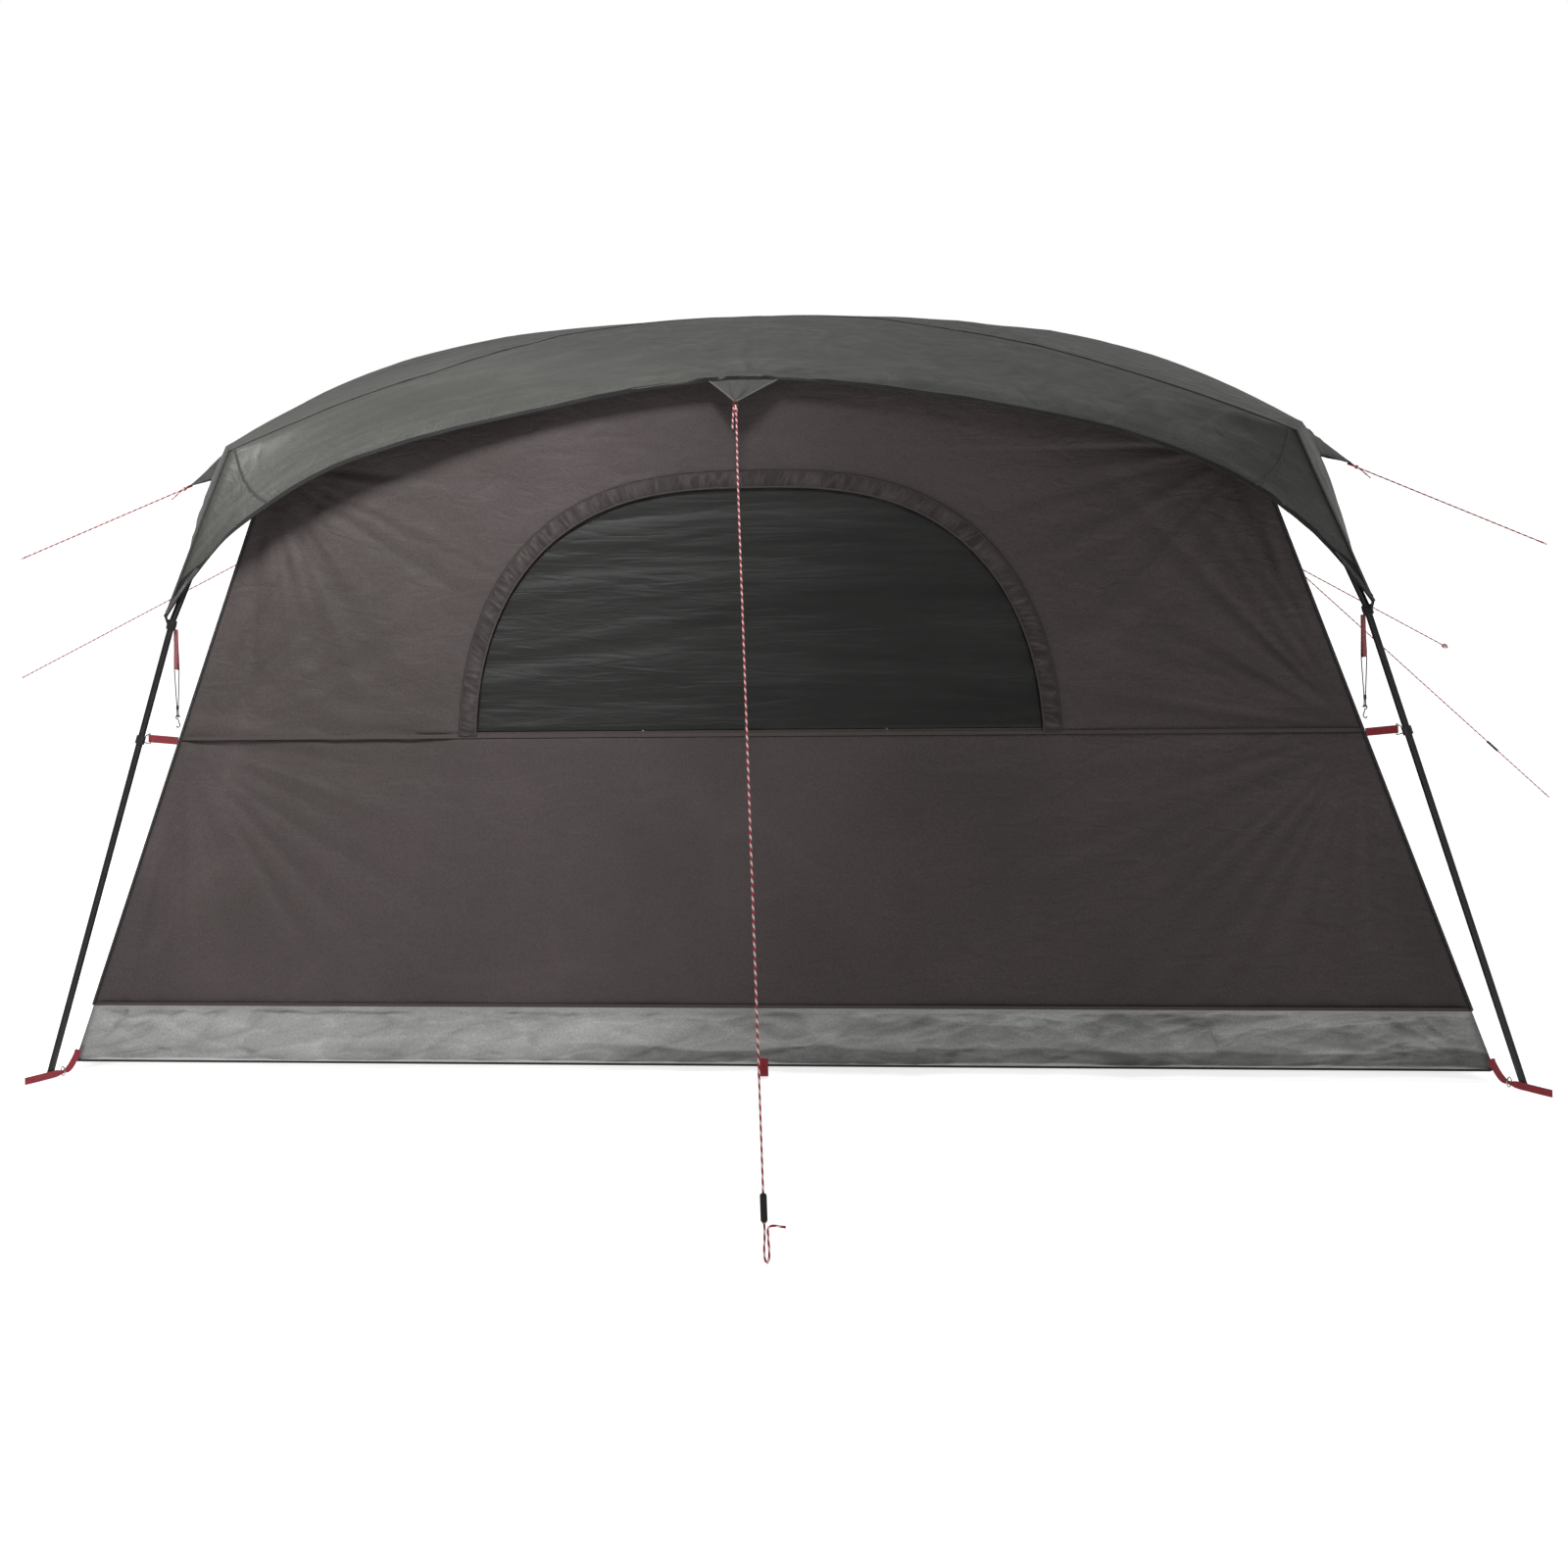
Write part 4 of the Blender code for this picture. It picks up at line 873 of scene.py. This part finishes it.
def make_walls():
    low = TRAY_HEIGHT + 0.0012
    u = np.linspace(-1, 1, 260)[None, :]
    v = np.linspace(low, SEAM_HEIGHT, 70)[:, None]
    across = u * wall_reach(v)
    item = sheet_piece("rear_wall_lower_cloth", wall_point("rear", across, v, wall_depth(across, v, 101)), WALL,
                       crease=wall_painted_fold_highlight(across, v, 101))
    dress(item, "rear_wall_lower")
    side_count, top_count, low_count = 70, 150, 150
    arch = even_line(arch_line(2000, 0.0, 0.012), 2 * side_count + top_count + 1)[:-1]
    sill = np.stack([np.linspace(-WINDOW_HALF, WINDOW_HALF, low_count, endpoint=False),
                     np.full(low_count, SEAM_HEIGHT + 0.016)], -1)
    hole = np.concatenate([sill, arch])
    outer = wall_outline(SEAM_HEIGHT + 0.0012, low_count, side_count, top_count)
    # pale is the painted highlight on the wall's folds
    points, pale = hole_ring("rear", hole, outer, 90, 101)
    item = sheet_piece("rear_wall_upper_cloth", points, WALL, wrap=True, flip=True, crease=pale)
    dress(item, "rear_wall_upper")
    arch = even_line(door_line(600), 2 * side_count + top_count + 1)[:-1]
    sill = np.stack([np.linspace(-DOOR_HALF, DOOR_HALF, low_count, endpoint=False),
                     np.full(low_count, DOOR_SILL)], -1)
    outer = wall_outline(low, low_count, side_count, top_count)
    points, pale = hole_ring("front", np.concatenate([sill, arch]), outer, 90, 131)
    item = sheet_piece("front_wall_cloth", points, WALL, wrap=True, crease=pale)
    dress(item, "front_wall")
    for side, seed in (("left", 151), ("right", 171)):
        rise = np.linspace(0, 1, 110)[:, None]
        top_u = u * (WALL_TOP_HALF - EDGE_GAP)
        crown = wall_top(top_u)
        bottom = u * (wall_reach(low) - EDGE_GAP)
        across = bottom + (top_u - bottom) * rise
        height = low + (crown - low) * rise
        points = wall_point(side, across, height, wall_depth(across, height, seed))
        item = sheet_piece(side + "_wall_cloth", points, WALL, flip=(side == "left"),
                           crease=wall_painted_fold_highlight(across, height, seed))
        dress(item, side + "_wall")


def door_line(count):
    """Door edge from right foot up, over a half-ellipse and down to the left foot."""
    angle = np.linspace(0, math.pi, count)
    rise = (DOOR_HEAD - DOOR_STRAIGHT) * np.sin(angle)
    arch = np.stack([DOOR_HALF * np.cos(angle), DOOR_STRAIGHT + rise], -1)
    return np.concatenate([[[DOOR_HALF, DOOR_SILL]], arch, [[-DOOR_HALF, DOOR_SILL]]])


def window_grid(grow, lift, rows=90, columns=200):
    """Level rows of the arched window: half width = a (1 - t^2.2)^(1/2.8) at a share t of its rise."""
    t = np.sin(np.linspace(0, math.pi / 2, rows))[:, None]
    s = np.linspace(-1, 1, columns)[None, :]
    half = (WINDOW_HALF + grow) * np.maximum(1 - t**2.2, 0) ** (1 / 2.8)
    return s * half, SEAM_HEIGHT + 0.004 + lift + t * (WINDOW_RISE + grow - lift) + 0 * s


def flap_folds(u, v):
    """Long level folds of the slack flap: creases many times as wide as high, bent by slow waves. They
    grow from nothing at the sewn lower edge over 90 mm."""
    sag = v + 0.05 * u * u - 0.03 * np.sin(u * 2.3 + 0.6)
    free = np.clip((v - SEAM_HEIGHT - 0.02) / 0.09, 0, 1)
    broad, fine = creases(u * 0.9 + 4, sag * 12, 211, 1.6), creases(u * 2.1 + 1, sag * 27, 212, 1.8)
    return free * (0.6 * broad + 0.4 * fine)


def make_window():
    u, v = window_grid(-0.002, 0.014)
    inward = 0.0012 + 0.010 * flap_folds(u, v)
    # Painted highlight along the flap's folds and fine creases, less an even darkening of the veil
    pale = 0.45 * flap_folds(u, v) ** 2 + 0.4 * creases(u * 1.4 + 2, v * 34 + u * 2, 215, 8.0) - 0.14
    item = sheet_piece("window_mesh_veil", wall_point("rear", u, v, inward), VEIL, thick=0.0006, crease=pale)
    close_ends(item)
    dress(item, "window_mesh")
    u, v = window_grid(0.025, 0.016)
    inward = 0.009 + 0.022 * flap_folds(u, v)
    # Painted highlight along the flap's folds, read from the crease attribute
    item = sheet_piece("window_flap_cloth", wall_point("rear", u, v, inward), FLAP, thick=0.001,
                       crease=0.5 * flap_folds(u, v) ** 2)
    close_ends(item)
    dress(item, "window_flap", "window_cover")


def make_cover():
    """Cover strip over the window zip: carried round the arch with a low crown, drawn up into puckers
    15 to 40 mm apart that fade towards its sewn outer edge."""
    count, across = 1500, 14
    inner = even_line(arch_line(3000, -0.004), count)
    outer = even_line(arch_line(3000, COVER_WIDTH), count)
    t = np.linspace(0, 1, across)[:, None]
    u = inner[None, :, 0] * (1 - t) + outer[None, :, 0] * t
    v = inner[None, :, 1] * (1 - t) + outer[None, :, 1] * t
    run = lengths(inner)[None, :]
    shift = run + 0.012 * t
    pucker = 0.6 * creases(shift * 36, t * 0.8 + 3, 301, 2.2) + 0.5 * creases(shift * 75, t * 1.3 + 7, 302, 2.4)
    crown = np.sin(math.pi * np.clip(t * 0.96 + 0.02, 0, 1)) ** 0.6
    rise = 0.0022 + crown * (0.0012 + 0.009 * pucker * (1 - 0.35 * t))
    # Painted highlight on the crowns of the puckers, painted shade between them and over the rest of the strip
    item = sheet_piece("window_zip_cover_strip", wall_point("rear", u, v, -rise), COVER, thick=0.001, flip=True,
                       crease=1.2 * pucker * crown - 0.35)
    dress(item, "window_zip_cover")
    for name, grow in (("inner", 0.0), ("outer", COVER_WIDTH - 0.004)):
        line = even_line(arch_line(3000, grow), 420)
        route = wall_point("rear", line[:, 0], line[:, 1], -0.0045 if name == "inner" else -0.0035)
        item = swept("window_cover_piping_" + name, route, (0, -NORMAL_OUT, NORMAL_UP),
                     round_profile(0.0028 if name == "inner" else 0.0016, 8), WALL_SEAM)
        trim(item)


def make_door():
    """Door panel in level rows between its straight sides and arched head. The zip tapes run up the free
    side and over the arch; the hinge side is sewn."""
    sill, head, half = DOOR_SILL + 0.004, DOOR_HEAD - 0.004, DOOR_HALF - 0.004
    t = np.sin(np.linspace(0, math.pi / 2, 60))
    heights = np.concatenate([np.linspace(sill, DOOR_STRAIGHT, 50)[:-1],
                              DOOR_STRAIGHT + (head - DOOR_STRAIGHT) * t])[:, None]
    rise = np.clip((heights - DOOR_STRAIGHT) / (head - DOOR_STRAIGHT), 0, 1)
    u = np.linspace(-1, 1, 110)[None, :] * half * np.sqrt(np.maximum(1 - rise**2, 0))
    v = heights + 0 * u
    inward = 0.0006 + 0.003 * rumple(u * 3 + 1, v * 3 + 2, 401) * np.clip((half - np.abs(u)) / 0.05, 0, 1)
    item = sheet_piece("door_panel_cloth", wall_point("front", u, v, inward), WALL, flip=True, thick=0.001)
    close_ends(item)
    dress(item, "door_panel", "door")
    for name, body, inset in (("door_edge_tape", "door", 0.0145), ("door_zip_tape", "tent", -0.0145)):
        edge = door_line(600)
        line = even_line(edge[edge[:, 0] > -0.97 * DOOR_HALF], 300)
        centre = np.array([0.0, 1.0])
        line = line - unit(line - centre) * inset
        route = wall_point("front", line[:, 0], line[:, 1], -0.0016)
        ahead = np.gradient(route, axis=0)
        wide = np.cross(ahead, (0.0, NORMAL_OUT, NORMAL_UP))
        item = swept(name, route, wide, strap_profile(0.016, 0.002), BINDING)
        trim(item, body)


def make_ceiling():
    """Mesh ceiling: height = 2.25 - 0.15 (s^2 + t^2) - 0.10 s^2 t^2 over a square with bowed-in sides."""
    s = np.linspace(-1, 1, 90)[None, :]
    t = np.linspace(-1, 1, 90)[:, None]
    x = s * (1.592 - 0.0702 * (1 - t * t))
    y = t * (1.592 - 0.0702 * (1 - s * s))
    z = 2.25 - 0.15 * (s * s + t * t) - 0.10 * s * s * t * t + 0.006
    points = np.stack([x, y, z - 0.004 * rumple(x * 2, y * 2, 501)], -1)
    item = sheet_piece("ceiling_mesh", points, VEIL, thick=0.0008)
    dress(item, "ceiling")


def make_tray():
    """Polyethylene floor with turned-up sides. The band leans like the walls above BAND_FOOT; below it the
    sheet runs in under the tent and falls to the ground. Its creases are slanted folds of three sizes, with
    painted highlights on the folds and painted shade in thin creases, and a strip of painted shade along the
    lower edge of two thirds of each side."""
    turn = np.linspace(1, 0, 9)[:-1]
    foot = wall_reach(BAND_FOOT)
    height = np.concatenate([0.0016 + (BAND_FOOT - 0.0016) * (1 - turn) ** 1.5,
                             np.linspace(BAND_FOOT, TRAY_HEIGHT + 0.001, 44)])[:, None]
    out = np.concatenate([foot - 0.12 * turn, wall_reach(height[8:, 0])])[:, None]
    s = np.linspace(-1, 1, 300)[None, :]
    parts, band_painted_lights_and_shades = [], []
    for index, side in enumerate(SIDES):
        slant = s * 5.2 + height * 6.0 * np.sign(value_noise(s * 2.2 + 3, 0 * height, 609) - 0.5)
        large = creases(slant + 13 * index, height * 9 + s * 0.8, 601, 1.3)
        middle = creases(s * 13 + height * 11, height * 17 + 5, 603, 1.6)
        fine = creases(s * 31 - height * 24, height * 33 + 2, 605, 2.0)
        corner = np.clip((1 - np.abs(s)) / 0.02, 0, 1)
        fade = corner * np.clip((TRAY_HEIGHT - height) / 0.02, 0, 1) * np.clip((height - 0.006) / 0.03, 0, 1)
        pulled = sum(fan(s * foot, height * 1.5, (at, 0.05), 613 + index, 9.0, 0.4) for at in (-foot, foot))
        depth = 0.0008 + (0.022 * large + 0.014 * middle + 0.008 * fine + 0.014 * pulled) * fade
        # Painted light on the band: pale lines on the folds are painted highlights, dark creases are painted
        # shade
        dark = creases(s * 17 - height * 15, height * 19 + 9, 607, 7.0)
        band_painted_light_and_shade = np.clip(0.30 * large**5 + 0.28 * middle**6 + 0.22 * fine**6 + 0.35 * pulled**2 - 0.26 * dark,
                       -0.3, 1) * fade
        # A strip of painted shade along the lower edge of the band, over two thirds of each side
        under = np.clip((0.066 + 0.018 * large - height) / 0.006, 0, 1) * np.clip((s + 0.35) / 0.2, 0, 1)
        band_painted_light_and_shade = band_painted_light_and_shade - 0.55 * under
        reach = out - depth
        parts.append(fly_turn(side, s * reach, reach + 0 * s, height + 0 * s)[:, 1:])
        band_painted_lights_and_shades.append((band_painted_light_and_shade + 0 * s)[:, 1:])
    item = sheet_piece("tray_band", np.concatenate(parts, 1), TRAY, wrap=True, crease=np.concatenate(band_painted_lights_and_shades, 1))
    dress(item, "floor_tray")
    half = foot - 0.118
    x = np.linspace(-half, half, 150)[None, :]
    y = np.linspace(-half, half, 150)[:, None]
    lift = 0.0022 + 0.005 * rumple(x * 2 + 40, y * 2 + 40, 611) + 0 * x
    item = sheet_piece("tray_floor", np.stack([x + 0 * y, y + 0 * x, lift + 0 * y], -1), TRAY)
    dress(item, "floor_tray")
    base = foot + 0.0005
    square = np.array([(-1, -1, 0), (1, -1, 0), (1, 1, 0), (-1, 1, 0), (-1, -1, 0)]) * base
    ring = even_route(square, 0.03)[:-1]
    ring[:, 2] = BAND_FOOT - 0.001
    item = swept("tray_piping", ring, (0, 0, 1), round_profile(0.0035, 8), BINDING, closed=True)
    trim(item)


def wall_strip(name, side, u, v, width, thick, finish, lift=0.0012):
    """A flat strip sewn on a wall along a path of (u, v)."""
    route = wall_point(side, u, v, -lift)
    out = {"rear": (0, -NORMAL_OUT, NORMAL_UP), "front": (0, NORMAL_OUT, NORMAL_UP),
           "left": (-NORMAL_OUT, 0, NORMAL_UP), "right": (NORMAL_OUT, 0, NORMAL_UP)}[side]
    wide = np.cross(np.gradient(route, axis=0), out)
    item = swept(name, route, wide, strap_profile(width, thick), finish)
    trim(item)


def make_wall_trim():
    half = wall_reach(SEAM_HEIGHT)
    u = np.linspace(-half, half, 200)
    wall_strip("rear_waist_seam", "rear", u, np.full(200, SEAM_HEIGHT + 0.003), 0.012, 0.0024, WALL_SEAM,
               0.0004)
    top = wall_reach(TRAY_HEIGHT)
    for side in SIDES:
        u = np.linspace(-top, top, 200)
        wall_strip("tray_seam_" + side, side, u, np.full(200, TRAY_HEIGHT + 0.003), 0.010, 0.0022, WALL_SEAM,
                   0.0003)
    for corner, (sx, sy) in CORNERS.items():
        z = np.linspace(TRAY_HEIGHT, 1.85, 120)
        reach = wall_reach(z) + 0.0005
        route = np.stack([sx * reach, sy * reach, z], -1)
        item = swept("corner_binding_" + corner, route, (sx, -sy, 0), strap_profile(0.009, 0.007), BINDING)
        trim(item)


make_walls()
make_window()
make_cover()
make_door()
make_ceiling()
make_tray()
make_wall_trim()


# ---------------------------------------------------------------- webbing and fittings

def corner_frame(corner):
    """Unit directions at a corner: outwards along the diagonal, and sideways."""
    sx, sy = CORNERS[corner]
    out = np.array([sx, sy, 0.0]) / ROOT
    side = np.array([-sy, sx, 0.0]) / ROOT * (sx * sy)
    return out, side


def corner_route(corner, spots):
    """Route from (r, w, z) spots: r outwards, w sideways, z up."""
    out, side = corner_frame(corner)
    spots = np.array(spots, float)
    return spots[:, :1] * out + spots[:, 1:2] * side + spots[:, 2:] * np.array([0, 0, 1.0])


def strap(name, corner, spots, wide, width, thick, finish, node, count=60, scale=None):
    route = smooth_route(corner_route(corner, spots), count)
    item = swept(name, route, wide, strap_profile(width, thick), finish, scale=scale)
    return dress(item, node)


def leg_reach(height):
    return LEG_FOOT + (LEG_HEAD - LEG_FOOT) * height / LEG_HEIGHT


def make_straps():
    for corner in CORNERS:
        out, side = corner_frame(corner)
        edge = wall_reach(0.05) * ROOT + 0.008
        ring = 3.052
        spots = [(edge - 0.004, 0.0173, 0.070), (edge + 0.004, 0.0173, 0.052), (ring - 0.022, 0.0173, 0.022),
                 (ring, 0.0173, 0.0135), (ring + 0.03, 0.0173, 0.0128)]
        spots += [(LEG_FOOT * ROOT + 0.05, 0.0178, 0.0125), (LEG_FOOT * ROOT + 0.085, 0.0168, 0.0125)]
        run = np.linspace(0, 1, 60)
        gathered = 1 - 0.5 * np.exp(-(((run - 0.5) / 0.09) ** 2))
        strap("base_loop_" + corner, corner, spots, np.cross(out, side), 0.022, 0.0018, RED_WEB,
              "base_strap_" + corner, scale=gathered)
        height = 0.995
        bar = leg_reach(height) * ROOT - 0.034
        wall = wall_reach(height - 0.035) * ROOT
        line = [(wall + 0.001, 0.0016), (bar - 0.016, 0.0022), (bar - 0.004, 0.0040), (bar + 0.0035, 0.0028)]
        line += [(bar + 0.0045, 0.0), (bar + 0.0035, -0.0028), (bar - 0.004, -0.0040), (bar - 0.016, -0.0022),
                 (wall + 0.001, -0.0016)]
        spots = [(r, w, height - 0.02 * (bar - r) / (bar - wall)) for r, w in line]
        strap("mid_loop_" + corner, corner, spots, (0, 0, 1), STRAP_WIDTH, 0.0014, RED_WEB,
              "mid_strap_" + corner, 90)


def make_hangers():
    """Folded webbing below the hub, a doubled elastic cord, and the hook's knot."""
    for corner in ("rear_left", "rear_right"):
        out, side = corner_frame(corner)
        line = 1.866 * ROOT - 0.014
        z = [1.334, 1.28, 1.225, 1.210, 1.2045, 1.210, 1.225, 1.28, 1.334]
        r = [0.0012, 0.0016, 0.0034, 0.0034, 0.0, -0.0034, -0.0034, -0.0016, -0.0012]
        spots = [(line + b, 0.0, a) for a, b in zip(z, r)]
        strap("hanger_loop_" + corner, corner, spots, side, STRAP_WIDTH, 0.0014, RED_WEB,
              "hanger_strap_" + corner, 90)
        low, knot_at = 1.205, 1.082
        loop = [(-0.006, low + 0.0052), (0.0, low + 0.0052), (0.006, low + 0.0052), (0.0145, low + 0.0045),
                (0.0152, low - 0.010), (0.010, 1.14), (0.0042, knot_at), (0.0048, 1.058), (0.0022, 1.0525),
                (-0.0022, 1.0525), (-0.0048, 1.058), (-0.0042, knot_at), (-0.010, 1.14), (-0.0152, low - 0.010),
                (-0.0145, low + 0.0045), (-0.006, low + 0.0052)]
        route = smooth_route(corner_route(corner, [(line, w, z_at) for w, z_at in loop]), 150)[:-1]
        item = swept("elastic_" + corner, route, out, round_profile(0.0018, 8), ELASTIC, closed=True)
        dress(item, "elastic_loop_" + corner)
        turns = np.linspace(0, 1, 60)
        angle = 2 * math.pi * 3 * turns
        spots = np.stack([line + 0.0030 * np.sin(angle), 0.0058 * np.cos(angle),
                          knot_at - 0.006 + 0.012 * turns], -1)
        item = swept("elastic_knot_" + corner, corner_route(corner, spots), (0, 0, 1),
                     round_profile(0.0015, 8), ELASTIC)
        trim(item)


CORNER_SIDES = {"rear_left": (("rear", -1), ("left", 1)), "rear_right": (("rear", 1), ("right", -1)),
                "front_right": (("front", -1), ("right", 1)), "front_left": (("front", 1), ("left", -1))}


def make_corner_ties():
    """Black webbing at each fly corner: two strips converge from the hems to the sleeve on the leg."""
    for corner in CORNERS:
        out, side = corner_frame(corner)
        hub = out * (leg_reach(1.35) * ROOT) + np.array([0, 0, 1.352])
        for name, sign in CORNER_SIDES[corner]:
            s = sign * np.linspace(0.945, 1.0, 24)
            edge = fly_point(name, s, 1.985, 0.003)
            last = edge[-1]
            turn = np.linspace(0, 1, 10)[1:, None]
            tail = last * (1 - turn) + (hub + out * 0.012) * turn
            route = np.concatenate([edge, tail])
            wide = np.concatenate([unit(fly_point(name, s, 1.9) - edge), np.repeat(side[None], 9, 0)])
            scale = np.linspace(1.1, 0.75, len(route))
            item = swept(f"corner_tie_{corner}_{name}", route, wide, strap_profile(0.022, 0.0022), BLACK_WEB,
                         scale=scale)
            trim(item)


def make_corner_patches():
    """Black triangle sewn on each fly corner: its upper edge falls from the ridge to the hem."""
    for corner, ends in CORNER_SIDES.items():
        for name, sign in ends:
            s = sign * np.linspace(0.925, 1.0, 16)[None, :]
            depth = 0.20 * (np.abs(s) - 0.925) / 0.075
            r = 2.0 - depth * np.linspace(1, 0, 12)[:, None]
            points = fly_point(name, s, r, 0.0022)
            item = sheet_piece(f"corner_patch_{corner}_{name}", points, BLACK_WEB_PATCH, thick=0.0014,
                               flip=(sign > 0))
            trim(item)


def make_peg_loop():
    """A folded loop of webbing at the foot of the rear wall."""
    spots = [(-0.0005, 0.052), (0.006, 0.030), (0.018, 0.012), (0.016, 0.004), (0.004, 0.009), (-0.0003, 0.030)]
    route = [wall_point("rear", 0.0, z, -0.0055 - out).tolist() for out, z in spots]
    item = swept("peg_loop", smooth_route(route, 50), (1, 0, 0), strap_profile(0.032, 0.0016), RED_WEB)
    dress(item, "peg_loop_rear")


def make_tab_loops():
    """Small red loops through which the guy lines pass, sewn to the tips of the tabs."""
    for name, tip, away in (("rear", (-0.046, -1.684, 2.018), (0, -0.65, -0.76)),
                            ("left", (-2.350, 0.0, 1.722), (-0.93, 0, -0.37)),
                            ("right", (2.350, 0.0, 1.722), (0.93, 0, -0.37))):
        away = np.array(away)
        across = np.array([1.0, 0, 0]) if name == "rear" else np.array([0, 1.0, 0])
        angle = np.linspace(0, 2 * math.pi, 40, endpoint=False)
        ring = (np.array(tip) + away * (0.004 + 0.012 * np.cos(angle))[:, None]
                + across * (0.008 * np.sin(angle))[:, None])
        item = swept("tab_loop_" + name, ring, np.cross(away, across), strap_profile(0.010, 0.0018), RED_WEB,
                     closed=True)
        trim(item)


make_straps()
make_hangers()
make_corner_ties()
make_corner_patches()
make_peg_loop()
make_tab_loops()


def refinish(names, finish):
    """Gives CAD nodes whose shape is right a better finish."""
    for name in names:
        mesh = NODES[name].data
        mesh.materials.clear()
        mesh.materials.append(finish)


refinish([n for n in NODES if n.startswith("leg_")], LEG_STEEL)
refinish([n for n in NODES if n.startswith(("roof_pole", "brow_pole"))], ROD)
refinish([n for n in NODES if n.startswith(("shoulder_joint", "mid_clip", "hook", "runner"))], MOULDED)
refinish([n for n in NODES if n.startswith("corner_ring")], NICKEL)
refinish([n for n in NODES if n.startswith(("corner_webbing", "crown_tie"))], BLACK_WEB)


# ---------------------------------------------------------------- studio

def make_studio():
    """A pale floor, an even white surround and soft lamps: a narrow beam on the upper
    left of the rear side, and a weak one from above."""
    extent = 60.0
    corners = np.array([(-1, -1, 0), (1, -1, 0), (1, 1, 0), (-1, 1, 0)], float) * extent
    corners[:, 2] = -0.0005
    plaster = blank("pale_studio_floor", 0.9, 0.0, 0.1)[0]
    face = plaster.node_tree.nodes["Principled BSDF"].inputs
    face["Base Color"].default_value = linear("#f8f8f8")
    face["Emission Color"].default_value = (1, 1, 1, 1)
    face["Emission Strength"].default_value = 0.7
    floor = mesh_piece("studio_floor", corners, np.array([[0, 1, 2, 3]]), plaster, smooth=False)
    world = bpy.data.worlds.new("studio")
    world.use_nodes = True
    bpy.context.scene.world = world
    tree = world.node_tree
    back = tree.nodes["Background"]
    path = put(tree, "LightPath", {}, {})
    level = remap(tree, path.outputs["Is Camera Ray"], 0.0, 1.0, 0.35, 1.0)
    tree.links.new(level, back.inputs["Strength"])
    back.inputs["Color"].default_value = (1, 1, 1, 1)
    for name, kind, spot, aim, size, power in (
            ("left_lamp", "AREA", (-0.7, -4.8, 5.6), (-1.5, -1.7, 2.05), 1.4, 30.0),
            ("top_sun", "SUN", (1.5, 2.0, 8.0), (0, 0, 0), 0.9, 0.75)):
        lamp = bpy.data.lights.new(name, kind)
        lamp.energy = power
        if kind == "AREA":
            lamp.size = size
            lamp.spread = math.radians(47)
        else:
            lamp.angle = size
        item = bpy.data.objects.new(name, lamp)
        bpy.context.scene.collection.objects.link(item)
        item.location = spot
        item.visible_camera = False
        item.rotation_euler = (Vector(aim) - Vector(spot)).to_track_quat("-Z", "Y").to_euler()
    bpy.context.scene.view_settings.view_transform = "Standard"


make_studio()
